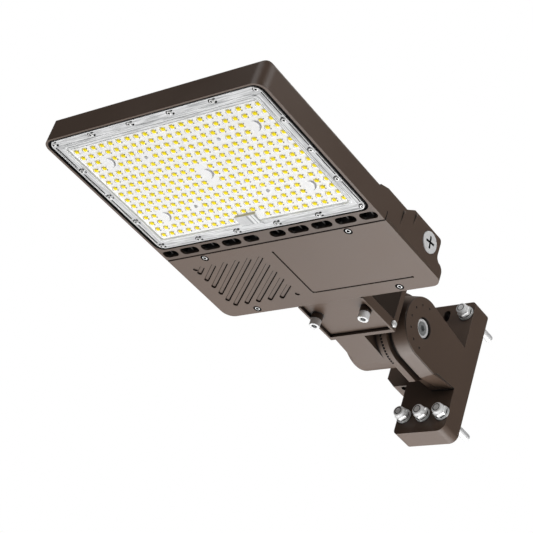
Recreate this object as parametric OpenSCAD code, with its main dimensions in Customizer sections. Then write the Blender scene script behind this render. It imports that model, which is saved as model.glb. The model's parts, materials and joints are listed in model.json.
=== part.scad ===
// Shoebox area light with a tilting knuckle and a wall bracket.
// Millimetres, +Z up. The origin is on the wall, level with the tilt axis.
// The head reaches out along -Y and shines down; X runs across its width.

/* [Head] */
// Width of the light head
head_w = 314; // [310:1:322]
// Height of the front section above its rim
front_h = 31; // [28:0.5:33]
// Height of the driver bay above the rim
bay_h = 46; // [45.5:0.5:54]
// Height of the deck between the vents and the driver bay
deck_h = 35; // [33:0.5:38]
// Plan radius of the front corners
front_corner_r = 14; // [8:0.5:16]
// Plan radius of the rear corners
rear_corner_r = 14; // [8:0.5:16]
// Radius along the top edges
edge_r = 4; // [2:0.5:5]
// Wall of the casting
wall = 3.2; // [2.8:0.1:3.6]
// Height of the rim below the tilt axis
rim_drop = 38.5; // [37.5:0.5:40]

/* [Optics] */
// Columns of LEDs
led_cols = 21; // [15:2:21]
// Rows of LEDs
led_rows = 15; // [11:2:15]
// Distance from the lens plate's sides to the outer LED columns
led_side_x = 19; // [18.5:0.5:24]
// Distance from the lens plate's ends to the outer LED rows
led_side_y = 22.6; // [22:0.1:27]
// Side of one LED package
chip_w = 4.8; // [3:0.1:5.2]
// Length of the lens plate
lens_l = 198.5; // [180:0.5:215]
// Distance from the head's side to the lens plate
rim_side = 8; // [7.5:0.5:12]
// Groove between the rim's side and the lens plate
side_gap = 3.4; // [2:0.1:3.8]
// Plan radius of the lens plate's corners
lens_corner_r = 9; // [6:0.5:12]
// Front rim between the head's end and the lens
rim_front = 4.25; // [3.8:0.05:5]
// Radius of one lens dome at its root
dome_r = 4.6; // [4:0.1:5]
// Thickness of the LED board
board_t = 1.6; // [1.2:0.1:2]

/* [Vents] */
// Length of the vent strip along Y
strip_l = 21.65; // [20:0.05:24]
// Distance from the last web to the inside of the head's wall
vent_end = 25; // [20:0.2:28]
// Length of a vent slot along Y
vent_l = 11; // [8:0.5:13]
// Half width of the closed middle web
vent_spine = 8.7; // [8.2:0.1:10]

/* [Driver bay] */
// Length of the driver cover along Y
cover_l = 119.6; // [117:0.2:121]
// Thickness of the driver cover
cover_t = 3; // [2.6:0.1:3.4]
// Clear length beyond the driver's right end
driver_end_gap = 14; // [6:1:40]
// Clear space for the wires in front of the driver
wire_room = 31; // [28:0.5:40]
// Height of the driver
driver_h = 31; // [24:1:32]
// Outer diameter of the side plug
plug_d = 25; // [20:0.5:26]

/* [Arm and knuckle] */
// Distance from the wall to the tilt axis
pivot_reach = 116; // [113:1:128]
// Distance from the tilt axis to the back of the head
arm_l = 122; // [118:1:130]
// Width of the arm box
sleeve_w = 94; // [92:1:98]
// Height of the arm box
sleeve_h = 63.5; // [61:0.5:68]
// Radius of the drum on the arm's half of the knuckle
drum_r = 43; // [41:0.5:44.5]
// Radius of the toothed ring on the bracket's half
ring_r = 46; // [44.5:0.5:47]
// Teeth round the knuckle
tooth_count = 48; // [36:12:60]
// Radius of the pivot bolt's shank
pivot_r = 6; // [5:0.5:7]

/* [Bracket] */
// Thickness of the wall plate
plate_t = 31; // [29:0.5:35]
// Height of the wall plate
plate_h = 188; // [184:1:196]
// Distance from the tilt axis down to the foot of the plate
plate_foot = 91; // [90:1:95]
// Width of the wall plate at the top
plate_w = 107.4; // [103:0.2:111]
// Width of the plate's lower tab
tab_w = 74.4; // [72:0.2:77]
// Distance from the middle of the head to the bracket's right side
plate_right = 45; // [43:0.2:47]
// Distance between the lower bolts
bolt_pitch = 28; // [27:0.5:29]
// Radius of the wall bolts
bolt_r = 4.9; // [4:0.1:5.1]
// Length of the wall bolts behind the plate
bolt_out = 28; // [20:1:40]

/* [Hidden] */

$fn = 48;

// Corner radius of a hexagon for each millimetre across its flats
hex_share = 0.57735;

// Shared clearances
overrun = 1;
fit_gap = 0.1;
run_gap = 0.06;
body_gap = 0.3;
rest_gap = 0.2;

// Colours
bronze = "#4b4037";
clear_grey = "#dfe3e4";
board_white = "#f4f4f0";
steel_grey = "#c9cbcd";
rubber_black = "#1c1b1a";

// Head places: y is measured from the back of the head, z from the rim
pivot_y = -pivot_reach;
head_back = pivot_y - arm_l;
half_w = head_w / 2;
lens_w = head_w - 2 * rim_side;
head_l = rim_front + lens_l + strip_l + cover_l;
led_pitch_x = (lens_w - 2 * led_side_x) / (led_cols - 1);
led_pitch_y = (lens_l - 2 * led_side_y) / (led_rows - 1);
back_gap = 23;
bay_edge_r = 8;
ramp_l = 13;
bay_slope = 16;
bay_top_l = 52;
bay_step = -back_gap - bay_top_l;
foot_t = 8;
foot_r = 8;
arc_steps = 6;

// Lens seat
lens_gap = 1.4;
flange_t = 2;
flange_bottom = 1.2;
seat_z = flange_bottom + flange_t;
field_t = 1.5;
field_bottom = flange_bottom + 0.2 * field_t;
dome_h = 1.5;
dome_top_share = 0.55;
board_bottom = 4;
chip_t = 0.6;
chip_gap = 3;
board_margin = 7.5;
board_corner_r = 5;
board_gap = 0.5;
lens_mid = -head_l + rim_front + lens_l / 2;
lens_back = lens_mid + lens_l / 2;
led_shift = 2.9;
led_mid = lens_mid + led_shift;
led_span_x = (led_cols - 1) * led_pitch_x;
led_span_y = (led_rows - 1) * led_pitch_y;
board_w = led_span_x + 2 * board_margin;
board_l = led_span_y + 2 * board_margin;
ridge_w = 2.4;
ridge_h = 0.7;
gasket_w = 2.2;
gasket_t = 1.6;
gasket_inset = 8.5;

// LED places left empty, counted from the front left, on a board of 21 by 15
led_gaps = [
    [2, 2], [18, 2], [2, 3], [6, 3], [14, 3], [18, 3], [10, 6], [10, 7], [10, 8],
    [2, 11], [6, 11], [14, 11], [18, 11], [2, 12], [18, 12], [9, 14], [10, 14], [11, 14]];
post_spots = [[2, 2.5], [18, 2.5], [10, 7], [2, 11.5], [18, 11.5]];
screw_spots = [[6, 3], [14, 3], [6, 11], [14, 11]];

// Lens and board screws
lens_screw_inset = 4.5;
lens_screw_cols = 6;
lens_screw_rows = 5;
lens_screw_r = 1.5;
lens_screw_l = 9;
pan_head_r = 2.9;
pan_head_h = 1.5;
socket_share = 0.45;
socket_depth_share = 0.6;
board_screw_r = 1.2;
board_screw_l = 5;
board_head_r = 2.4;
board_head_h = 1;

// Heat sink, vents and bay
sink_plate_t = 4.5;
plate_top = board_bottom + board_t + sink_plate_t;
fin_t = 1.8;
fin_drop = 3;
strip_t = 3.5;
duct_front = lens_back + 1.6;
duct_back = -cover_l - 1.6;
vent_mid = (lens_back - cover_l) / 2;
vent_web = 5.3;
vent_corner_share = 0.49;
vent_corner_r = vent_l * vent_corner_share;
vent_count = 5;
vent_pitch = (half_w - wall - vent_end) / (vent_count - 1);
bulkhead = 15;
bay_front = -cover_l + bulkhead;
bay_wall = 8;
bay_roof = 3.5;
bay_back = -back_gap - wall;
bay_top = bay_h - bay_roof;
deck_under = deck_h - bay_roof;
groove_w = 1.2;
groove_h = 11;
groove_d = 0.8;
rib_t = 2.6;
rib_out = 1.6;
rib_places = [73, 93];
rib_low_shares = [0.55, 0.22];

// Leads
lead_r = 1.1;
lead_bore_r = 3.6;
lead_z = 9;
lead_gap = 3;
notch_w = 16;
notch_l = 4.4;
joint_share = 1.05;
grommet_wall = 1.2;
grommet_lip = 1.6;

// Board connector
socket_w = 20;
socket_l = 7;
socket_h = 3;
bump_w = 30;
bump_wall = 1.2;
bump_drop = 2;

// Driver cover
cover_gap = 0.3;
cover_seam = 0.9;
cover_screw_side = 53.3;
cover_screw_x = half_w - cover_screw_side;
cover_screw_front = 7.1;
cover_screw_back = 8;
cover_screw_r = 2;
cover_screw_l = 9;
cover_head_r = 3.7;
cover_head_h = 2.2;
cover_sink_gap = 0.6;
seal_w = 2.2;
seal_t = 1.5;
seal_inset = 4.8;
line_w = 1.1;
line_d = 0.6;
line_x = -9.3;
line_side = 27.4;
line_end_x = half_w - line_side;
line_front = 18.3;
line_back = 20.7;
line_dot_r = 1.4;
diamond_w = 106;
diamond_l = 81;
diamond_side = 22.5;
diamond_x = -half_w + diamond_side + diamond_w / 2;
diamond_front = 19.4;
diamond_slots = 10;
diamond_step = 18.1;
diamond_angle = 37.5;
diamond_slot_w = 6;
diamond_depth = 1.4;
diamond_dot_in = [2.6, 4.2];

// Driver, arrester and terminals
driver_tab = 8;
driver_tab_t = 2;
driver_back_gap = 4;
driver_corner_r = 3;
driver_screw_r = 1.8;
driver_screw_l = 3;
driver_head_r = 3.4;
arrester_w = 38;
arrester_l = 34;
arrester_h = 24;
block_w = 30;
block_l = 22;
block_h = 16;
bay_side_gap = 6;
bay_item_gap = 6;
driver_start_gap = 14;
block_holes = 3;
block_hole_r = 2.4;
bay_item_mid = bay_step + driver_tab + arrester_l / 2 + bay_item_gap / 2;
block_x = -half_w + bay_wall + bay_side_gap + block_w / 2;
arrester_x = block_x + block_w / 2 + bay_item_gap + arrester_w / 2;
driver_x0 = arrester_x + arrester_w / 2 + driver_start_gap;
driver_x1 = half_w - bay_wall - driver_end_gap;
driver_l = driver_x1 - driver_x0;
driver_x = (driver_x0 + driver_x1) / 2;

// Side plug
plug_head_t = 2.2;
plug_shank_share = 0.8;
plug_l = 9;
plug_mid_y = 42;
plug_mid_z = 26.9;
plug_slot_w = 2.4;
plug_slot_turn = 9;
plug_slot_l_share = 0.54;
plug_slot_d = 1;
plug_seal_t = 0.8;
plug_recess = 2;
plug_boss_r = 14.5;

// Tenon and cable entry
tenon_w = 82;
tenon_low = 11;
tenon_high = 44;
tenon_l = 44;
tenon_wall = 5;
entry_r = 7.5;
gland_r = 10.5;
gland_flange_r = 12.5;
gland_flange_t = 3;
gland_nut_t = 5;
gland_thread_l = 9;
gland_bore_r = 4.2;

// Arm box
sleeve_low = -1;
sleeve_back = 70.5;
sleeve_gap = 0.6;
sleeve_wall = 5;
sleeve_rim = 2.8;
sleeve_back_wall = 5.5;
sleeve_top_wall = 5;
sleeve_corner_r = 3;
foot_clear = 22;
panel_recess = 4;
panel_t = 3;
panel_gap = 0.35;
boss_r = 7;
boss_h = 7;
clamp_x = 35.5;
pad_r = sleeve_w / 2 - sleeve_wall - clamp_x - panel_gap;
clamp_y = 24;
clamp_r = 4.8;
clamp_head_r = 6.6;
clamp_head_h = 7;
clamp_bare = 6;
clamp_in = 10;
clamp_socket_r = 3.3;
side_panel_t = 1.4;
side_panel_low = 11.5;
side_panel_back = 8;
side_panel_front = 14;
side_panel_top = 9;
side_screw_r = 1.6;
side_screw_l = 5;
side_head_r = 4.2;
side_head_h = 3.4;
side_screw_y = 6.5;
side_screw_z = 6.5;
sleeve_bush_x = 24;
sleeve_bush_y = 46;
sleeve_bush_r = 7;

// Knuckle
drum_left = -44.5;
seam_x = 10.4;
tooth_h = 0.8;
tooth_w = 3;
tooth_l = 9;
tooth_inset = 0.6;
arm_face = seam_x - body_gap / 2 - tooth_h;
bracket_face = seam_x + body_gap / 2 + tooth_h;
neck_left = -40;
neck_right = 2.5;
neck_top = 24;
drum_recess_r = 34;
drum_recess = 12;
drum_floor_t = 12;
ring_w = 9;
groove_gap = 5.5;
knuckle_groove_r = 37;
band_root_r = 41.5;
disc_r = 38;
disc_t = 1.2;
gusset_top = 27;
gusset_low = 32;
lobe_reach = 40;
lobe_step = 3;
dimple_r = 1.6;
dimple_d = 0.8;
dimple_ring_r = 28;
dimple_angles = [90, 120, 150, 180, 210, 240, 270];
pivot_sink_r = 13.6;
pivot_sink_d = 12;
pivot_washer_r = 12;
pivot_washer_t = 2.5;
pivot_head_r = 8;
pivot_head_h = 7;
pivot_socket_r = 4.6;
pivot_nut_af = 18;
pivot_nut_t = 10;
spring_r = 10;
spring_t = 2.6;

// Wall plate
plate_corner_r = 6;
foot_corner_r = 11;
wing_chamfer = 13;
wing_low = -20;
bolt_margin = 8.5;
bolt_high_margin = 11;
bolt_low_z = -66.5;
bolt_high_z = 80;
plate_skin = 7;
plate_side = 6;
bolt_boss_r = 10.5;
pocket_r = 4.5;
pocket_d = 5;
slot_x = 4;
slot_w = 10;
slot_l = 17;
washer_r = 10;
washer_t = 2;
nut_af = 17;
nut_t = 7;
cap_r = 6.6;
cap_dome_share = 2.2;
cap_h = 6;
stud_in_nut = 9;
stud_relief = 0.25;
stud_step = 1;

// Points along a round corner, anticlockwise from angle a to angle b
function arc(cy, cz, r, a, b) = [for (i = [0:arc_steps])
    let (t = a + (b - a) * i / arc_steps) [cy + r * cos(t), cz + r * sin(t)]];

function is_gap(c, r) = len([for (g = led_gaps) if (g[0] == c && g[1] == r) 1]) > 0;
function lead_notch_y() = led_y(led_rows - 1) + socket_l / 2 + board_gap;
function led_x(c) = (c - (led_cols - 1) / 2) * led_pitch_x;
function led_y(r) = led_mid + (r - (led_rows - 1) / 2) * led_pitch_y;
function spread(count, k) = (k - (count - 1) / 2) / ((count - 1) / 2);

// Lens screws: a row along the front and the back, the rest down both sides
lens_screw_x = lens_w / 2 - lens_screw_inset;
lens_screw_y = lens_l / 2 - lens_screw_inset;
lens_screw_spots = concat(
    [for (k = [0:lens_screw_cols - 1], s = [-1, 1]) [spread(lens_screw_cols, k) * lens_screw_x,
        s * lens_screw_y]],
    [for (k = [1:lens_screw_rows - 2], s = [-1, 1]) [s * lens_screw_x,
        spread(lens_screw_rows, k) * lens_screw_y]]);

cover_screw_spots = [for (s = [-1, 1], y = [-cover_l + cover_screw_front, -cover_screw_back])
    [s * cover_screw_x, y]];

plate_left = plate_right - plate_w;
tab_left = plate_right - tab_w;
plate_top_z = plate_h - plate_foot;
bolt_right = plate_right - bolt_margin;
wall_bolt_spots = [
    [bolt_right, bolt_low_z], [bolt_right - bolt_pitch, bolt_low_z],
        [bolt_right - 2 * bolt_pitch, bolt_low_z],
    [plate_right - bolt_high_margin, bolt_high_z], [plate_left + bolt_high_margin, bolt_high_z]];

groove_start = bracket_face + ring_w;
band_start = groove_start + groove_gap;
sink_floor = plate_right - pivot_sink_d;
drum_floor = drum_left + drum_recess;

module at_head() {
    translate([0, head_back, -rim_drop]) children();
}

module at_pivot() {
    translate([0, pivot_y, 0]) children();
}

// Turns a drawing in (y, z) into a solid of width w centred on x
module across(w) {
    translate([-w / 2, 0, 0]) rotate([90, 0, 90]) linear_extrude(w) children();
}

// Rounded rectangle with its own radius at each end of y
module plan(w, y0, y1, r0, r1) {
    difference() {
        translate([-w / 2, y0]) square([w, y1 - y0]);
        for (s = [-1, 1]) {
            corner_cut(s * w / 2, y0, -s, 1, r0);
            corner_cut(s * w / 2, y1, -s, -1, r1);
        }
    }
}

// What a round corner leaves out; sx and sy point into the sheet
module corner_cut(x, y, sx, sy, r) {
    translate([x, y]) scale([sx, sy]) difference() {
        translate([-overrun, -overrun]) square([r + overrun, r + overrun]);
        translate([r, r]) circle(r);
    }
}

module slab(w, y0, y1, r0, r1, z0, z1) {
    translate([0, 0, z0]) linear_extrude(z1 - z0) plan(w, y0, y1, r0, r1);
}

// A slab centred on the lens
module lens_slab(w, l, r, z0, z1) {
    translate([0, lens_mid, 0]) slab(w, -l / 2, l / 2, r, r, z0, z1);
}

module ring_slab(w, l, r, width, z0, z1) {
    difference() {
        lens_slab(w, l, r, z0, z1);
        lens_slab(w - 2 * width, l - 2 * width, r - width / 2, z0 - overrun, z1 + overrun);
    }
}

// Side view of the head, in (y, z)
module head_profile() {
    polygon(concat(
        [[-head_l, 0], [0, 0]],
        [[0, foot_t]],
        arc(-back_gap + foot_r, foot_t + 2 * foot_r, foot_r, 270, 180),
        [[-back_gap, bay_h - bay_edge_r]],
        arc(-back_gap - bay_edge_r, bay_h - bay_edge_r, bay_edge_r, 0, 90),
        [[bay_step, bay_h], [bay_step - bay_slope, deck_h]],
        [[lens_back + ramp_l, deck_h], [lens_back, front_h]],
        arc(-head_l + edge_r, front_h - edge_r, edge_r, 90, 180)));
}

// Front view of the head, in (x, z), rounded at the height h
module front_view(h) {
    difference() {
        translate([-half_w, 0]) square([head_w, h]);
        for (s = [-1, 1]) corner_cut(s * half_w, h, -s, -1, edge_r);
    }
}

module head_block() {
    intersection() {
        across(head_w) head_profile();
        slab(head_w, -head_l, 0, front_corner_r, rear_corner_r, 0, bay_h);
        union() {
            translate([0, lens_back, 0]) rotate([90, 0, 0]) linear_extrude(head_l) front_view(front_h);
            translate([0, overrun, 0]) rotate([90, 0, 0]) linear_extrude(-lens_back + overrun)
                front_view(bay_h);
        }
    }
}

// Inside of the driver bay
module bay_hollow() {
    across(head_w - 2 * bay_wall) polygon([
        [bay_front, -overrun], [bay_back, -overrun], [bay_back, bay_top], [bay_step, bay_top],
        [bay_step - bay_slope, deck_under], [bay_front, deck_under]]);
}

// Hollow of the heat sink and of the air duct, open at the top
module sink_hollow() {
    inner = head_w - 2 * wall;
    inner_r = front_corner_r - wall;
    slab(inner, -head_l + wall, duct_front + overrun, inner_r, wall, plate_top, bay_h + overrun);
    slab(inner, duct_front, duct_back, wall, wall, strip_t, bay_h + overrun);
}

module fins() {
    top = front_h - fin_drop;
    count = floor((half_w - wall) / (vent_pitch / 2));
    for (k = [-count:count]) {
        x = k * vent_pitch / 2;
        if (abs(x) + fin_t < half_w - wall) {
            translate([x - fin_t / 2, -head_l + wall / 2, plate_top - overrun])
                cube([fin_t, duct_back + head_l, top - plate_top + overrun]);
            translate([x - fin_t / 2, duct_front - overrun, strip_t - overrun])
                cube([fin_t, duct_back - duct_front + 2 * overrun, plate_top]);
        }
    }
}

module spine() {
    y0 = lead_notch_y() - wall;
    translate([-vent_spine, duct_front - overrun, strip_t - overrun])
        cube([2 * vent_spine, duct_back - duct_front + 2 * overrun,
            front_h - fin_drop - strip_t + overrun]);
    translate([-vent_spine, y0, plate_top - overrun])
        cube([2 * vent_spine, duct_front - y0, front_h - fin_drop - plate_top + overrun]);
}

module vents() {
    outer_end = half_w - wall;
    for (s = [-1, 1], k = [0:vent_count - 1]) {
        x0 = (k == 0) ? vent_spine : k * vent_pitch + vent_web / 2;
        x1 = (k == vent_count - 1) ? outer_end : (k + 1) * vent_pitch - vent_web / 2;
        translate([s * (x0 + x1) / 2, vent_mid, 0])
            slab(x1 - x0, -vent_l / 2, vent_l / 2, vent_corner_r, vent_corner_r, -overrun,
                strip_t + overrun);
    }
}

// Tapered ribs on the sides of the bay
module side_ribs() {
    for (s = [-1, 1], k = [0:len(rib_places) - 1]) {
        top = (k == 0 ? bay_h : deck_h) - edge_r;
        low = bay_h * rib_low_shares[k];
        translate([s * (half_w - overrun), -rib_places[k], 0]) rotate([90, 0, 0])
            linear_extrude(rib_t) scale([s, 1])
                polygon([[0, low], [overrun, low], [overrun + rib_out, top - edge_r], [overrun, top],
                    [0, top]]);
    }
}

module plug_axis(x) {
    translate([x, -plug_mid_y, plug_mid_z]) rotate([0, 90, 0]) children();
}

module housing() {
    plug_shank_r = plug_d / 2 * plug_shank_share;
    boss_l = wall + plug_l;
    color(bronze) at_head() difference() {
        union() {
            difference() {
                head_block();
                sink_hollow();
                bay_hollow();
                slab(head_w + 2 * overrun, -cover_l, overrun, 0, 0, -overrun, cover_t + cover_gap);
            }
            fins();
            spine();
            side_ribs();
            tenon_bar(0, bay_back, tenon_l);
            intersection() {
                head_block();
                plug_axis(half_w - boss_l) cylinder(h = boss_l - plug_recess, r = plug_boss_r);
            }
        }
        lens_slab(lens_w + 2 * side_gap, lens_l + 2 * lens_gap, lens_corner_r + lens_gap, -overrun,
            seat_z);
        board_pocket();
        ring_slab(lens_w - 2 * gasket_inset, lens_l - 2 * gasket_inset, lens_corner_r, gasket_w,
            seat_z - overrun,
            seat_z + gasket_t);
        vents();
        for (p = lens_screw_spots)
            translate([p[0], lens_mid + p[1], 0])
                cylinder(h = flange_bottom + lens_screw_l, r = lens_screw_r + fit_gap);
        for (p = screw_spots)
            translate([led_x(p[0]), led_y(p[1]), 0])
                cylinder(h = board_bottom + board_screw_l, r = board_screw_r + fit_gap);
        for (p = cover_screw_spots)
            translate([p[0], p[1], 0])
                cylinder(h = cover_head_h + cover_screw_l, r = cover_screw_r + fit_gap);
        for (p = driver_screw_spots())
            translate([p[0], p[1], bay_top - overrun])
                cylinder(h = overrun + driver_screw_l, r = driver_screw_r + fit_gap);
        translate([0, lead_notch_y(), lead_z]) rotate([-90, 0, 0])
            cylinder(h = bay_front - lead_notch_y() + overrun, r = lead_bore_r);
        cover_seal_band(seal_w + 2 * fit_gap, cover_t, cover_t + cover_gap + seal_t + fit_gap, fit_gap);
        plug_axis(half_w - boss_l - overrun)
            cylinder(h = boss_l + 2 * overrun, r = plug_shank_r + run_gap);
        plug_axis(half_w - plug_recess)
            cylinder(h = plug_recess + overrun, r = plug_d / 2 + 2 * rest_gap);
        side_grooves();
        tenon_bar(tenon_wall, -back_gap, tenon_l + overrun);
        entry_axis(bay_back - overrun) cylinder(h = wall + 2 * overrun, r = entry_r + fit_gap);
        clamp_holes();
    }
}

module board_pocket() {
    translate([0, led_mid, 0])
        slab(board_w + 2 * board_gap, -board_l / 2 - board_gap, board_l / 2 + board_gap, board_corner_r,
            board_corner_r, -overrun, board_bottom + board_t);
    translate([-notch_w / 2, lead_notch_y(), 0]) cube([notch_w, notch_l, lead_z + lead_bore_r]);
}

module side_grooves() {
    for (s = [-1, 1])
        translate([s * half_w - groove_d, -cover_l - groove_w / 2, 0])
            cube([2 * groove_d, groove_w, groove_h]);
}

// Square tube from y0 to y1, set in from the tenon's outside by inset
module tenon_bar(inset, y0, y1) {
    half = (tenon_high - tenon_low) / 2 - inset;
    translate([0, y0, (tenon_low + tenon_high) / 2]) rotate([-90, 0, 0]) linear_extrude(y1 - y0)
        plan(tenon_w - 2 * inset, -half, half, sleeve_corner_r, sleeve_corner_r);
}

module entry_axis(y) {
    translate([0, y, (tenon_low + tenon_high) / 2]) rotate([-90, 0, 0]) children();
}

module clamp_holes() {
    for (s = [-1, 1])
        translate([s * clamp_x, clamp_y, tenon_low - overrun])
            cylinder(h = clamp_in + overrun, r = clamp_r + fit_gap);
}

module led_board() {
    color(board_white) at_head() difference() {
        translate([0, led_mid, 0])
            slab(board_w, -board_l / 2, board_l / 2, board_corner_r, board_corner_r, board_bottom,
                board_bottom + board_t);
        for (p = screw_spots)
            translate([led_x(p[0]), led_y(p[1]), 0])
                cylinder(h = board_bottom + board_t + overrun, r = board_screw_r + fit_gap);
        translate([-notch_w / 2, lead_notch_y(), 0])
            cube([notch_w, board_l, board_bottom + board_t + overrun]);
    }
}

module led_chips() {
    color("#e8c81e") at_head() for (c = [0:led_cols - 1], r = [0:led_rows - 1])
        if (!is_gap(c, r))
            translate([led_x(c) - chip_w / 2, led_y(r) - chip_w / 2, board_bottom - chip_t])
                cube([chip_w, chip_w, chip_t]);
}

// A pan head screw that points up, its head's underside at z = 0
module pan_screw(r, l, head_r, head_h) {
    difference() {
        union() {
            cylinder(h = l, r = r);
            translate([0, 0, -head_h])
                cylinder(h = head_h, r1 = head_r * (1 - socket_share / 2), r2 = head_r);
        }
        translate([0, 0, -head_h - overrun])
            cylinder(h = overrun + head_h * socket_depth_share, r = head_r * socket_share, $fn = 6);
    }
}

module board_screws() {
    color(steel_grey) at_head() for (p = screw_spots)
        translate([led_x(p[0]), led_y(p[1]), board_bottom])
            pan_screw(board_screw_r, board_screw_l, board_head_r, board_head_h);
}

module board_connector() {
    color("#efefe9") at_head()
        translate([-socket_w / 2, led_y(led_rows - 1) - socket_l / 2, board_bottom - socket_h])
            difference() {
                cube([socket_w, socket_l, socket_h]);
                for (s = [-1, 1])
                    translate([socket_w / 2 + s * lead_gap / 2, socket_l / 2, socket_h / 2])
                        rotate([-90, 0, 0]) cylinder(h = socket_l, r = lead_r + fit_gap);
            }
}

module lens_plate() {
    bump_y = led_y(led_rows - 1) - socket_l;
    bump_l = lens_back - gasket_inset - bump_y;
    color(clear_grey, 0.45) at_head() difference() {
        union() {
            ring_slab(lens_w, lens_l, lens_corner_r, gasket_inset + gasket_w, flange_bottom, seat_z);
            lens_slab(lens_w - 2 * gasket_inset, lens_l - 2 * gasket_inset, lens_corner_r, field_bottom,
                field_bottom + field_t);
            ring_slab(lens_w - 2 * gasket_inset - gasket_w, lens_l - 2 * gasket_inset - gasket_w,
                lens_corner_r,
                ridge_w, flange_bottom - ridge_h, field_bottom + field_t / 2);
            for (c = [0:led_cols - 1], r = [0:led_rows - 1])
                if (!is_gap(c, r)) dome(led_x(c), led_y(r), dome_r);
            for (p = post_spots) dome(led_x(p[0]), led_y(p[1]), dome_r);
            translate([-bump_w / 2, bump_y, flange_bottom - bump_drop])
                cube([bump_w, bump_l, bump_drop]);
        }
        for (p = lens_screw_spots)
            translate([p[0], lens_mid + p[1], -overrun])
                cylinder(h = seat_z + 2 * overrun, r = lens_screw_r + fit_gap);
        translate([-bump_w / 2 + bump_wall, bump_y + bump_wall, flange_bottom - bump_drop + bump_wall])
            cube([bump_w - 2 * bump_wall, bump_l - 2 * bump_wall, seat_z]);
    }
}

module dome(x, y, r) {
    translate([x, y, field_bottom - dome_h])
        cylinder(h = dome_h + field_t / 2, r1 = r * dome_top_share, r2 = r, $fn = 24);
}

module lens_gasket() {
    color(rubber_black) at_head()
        ring_slab(lens_w - 2 * gasket_inset - 2 * fit_gap, lens_l - 2 * gasket_inset - 2 * fit_gap,
            lens_corner_r, gasket_w - 2 * fit_gap, seat_z, seat_z + gasket_t);
}

module lens_screws() {
    color(steel_grey) at_head() for (p = lens_screw_spots)
        translate([p[0], lens_mid + p[1], flange_bottom])
            pan_screw(lens_screw_r, lens_screw_l - fit_gap, pan_head_r, pan_head_h);
}

driver_low = bay_top - driver_h;
driver_y1 = bay_back - driver_back_gap;
driver_y0 = max(bay_front + wire_room, bay_step + rest_gap);
function driver_screw_spots() = concat(
    [for (s = [-1, 1], y = [driver_y0 + driver_tab, driver_y1 - driver_tab])
        [driver_x + s * (driver_l / 2 - driver_tab / 2), y]],
    [[arrester_x, bay_item_mid - arrester_l / 2 - driver_tab / 2]],
    [[block_x, bay_item_mid - block_l / 2 - driver_tab / 2]]);

module led_driver() {
    can_l = driver_l - 2 * driver_tab;
    color("#b8bab9") at_head() difference() {
        union() {
            translate([driver_x, 0, 0])
                slab(can_l, driver_y0, driver_y1, driver_corner_r, driver_corner_r, driver_low,
                    bay_top);
            translate([driver_x, 0, 0])
                slab(driver_l, driver_y0, driver_y1, driver_corner_r, driver_corner_r,
                    bay_top - driver_tab_t, bay_top);
        }
        for (p = driver_screw_spots())
            translate([p[0], p[1], 0]) cylinder(h = bay_h, r = driver_screw_r + fit_gap);
    }
}

module driver_screws() {
    color(steel_grey) at_head() for (p = driver_screw_spots())
        translate([p[0], p[1], bay_top - driver_tab_t])
            pan_screw(driver_screw_r, driver_tab_t + driver_screw_l - fit_gap, driver_head_r,
                board_head_h);
}

// Item of the bay with a screwed tab at its front
module bay_item(x, w, l, h) {
    difference() {
        union() {
            translate([x, bay_item_mid, 0])
                slab(w, -l / 2, l / 2, driver_corner_r, driver_corner_r, bay_top - h, bay_top);
            translate([x, bay_item_mid, 0])
                slab(w / 2, -l / 2 - driver_tab, 0, driver_corner_r, 0, bay_top - driver_tab_t,
                    bay_top);
        }
        for (p = driver_screw_spots())
            translate([p[0], p[1], 0]) cylinder(h = bay_h, r = driver_screw_r + fit_gap);
    }
}

module surge_protector() {
    color("#23262b") at_head() bay_item(arrester_x, arrester_w, arrester_l, arrester_h);
}

module terminal_block() {
    step = block_w / block_holes;
    color("#e9e7df") at_head() difference() {
        bay_item(block_x, block_w, block_l, block_h);
        for (k = [0:block_holes - 1])
            translate([block_x - block_w / 2 + (k + 0.5) * step, bay_item_mid,
                bay_top - block_h - overrun])
                cylinder(h = block_h / 2 + overrun, r = block_hole_r);
    }
}

// A lead along straight runs with a small ball at each turn
module lead(route) {
    for (k = [0:len(route) - 2]) lead_run(route[k], route[k + 1]);
    for (k = [1:len(route) - 2]) translate(route[k]) sphere(lead_r * joint_share);
}

module lead_run(a, b) {
    d = b - a;
    l = norm(d);
    translate(a) rotate([0, acos(d[2] / l), atan2(d[1], d[0])]) cylinder(h = l, r = lead_r);
}

module led_leads() {
    colours = ["#b3261e", "#20242a"];
    start_y = led_y(led_rows - 1) + socket_l / 2;
    start_z = board_bottom - socket_h / 2;
    turn_y = lead_notch_y() + 2 * lead_r;
    bay_y = bay_front + bulkhead / 3;
    rise = driver_low + driver_h / 4;
    at_head() for (s = [-1, 1]) {
        x = s * lead_gap / 2;
        color(colours[(s + 1) / 2]) lead([
            [x, start_y - socket_l / 4, start_z], [x, turn_y, start_z], [x, turn_y, lead_z],
            [x, bay_y, lead_z], [x, bay_y, rise], [x, driver_y0, rise]]);
    }
}

module supply_leads() {
    start_x = driver_x - driver_l / 2 + driver_tab;
    end_x = block_x + block_w / 2;
    low = bay_top - block_h * 0.5;
    dip = bay_top - arrester_h - 2 * lead_gap;
    side_x = arrester_x - arrester_w / 2 - lead_gap / 2;
    color("#e6e2d8") at_head() for (s = [-1, 1]) {
        y = bay_item_mid + s * lead_gap;
        lead([[start_x, y, dip], [side_x, y, dip], [side_x, y, low], [end_x, y, low]]);
    }
}

// A rubber bush: a tube with a lip at each side of a wall of thickness t
module bush(bore, hole, t) {
    difference() {
        union() {
            cylinder(h = t, r = hole - fit_gap);
            translate([0, 0, -grommet_lip]) cylinder(h = grommet_lip, r = hole + grommet_lip);
            translate([0, 0, t]) cylinder(h = grommet_lip, r = hole + grommet_lip);
        }
        translate([0, 0, -grommet_lip - overrun])
            cylinder(h = t + 2 * (grommet_lip + overrun), r = bore);
    }
}

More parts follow.
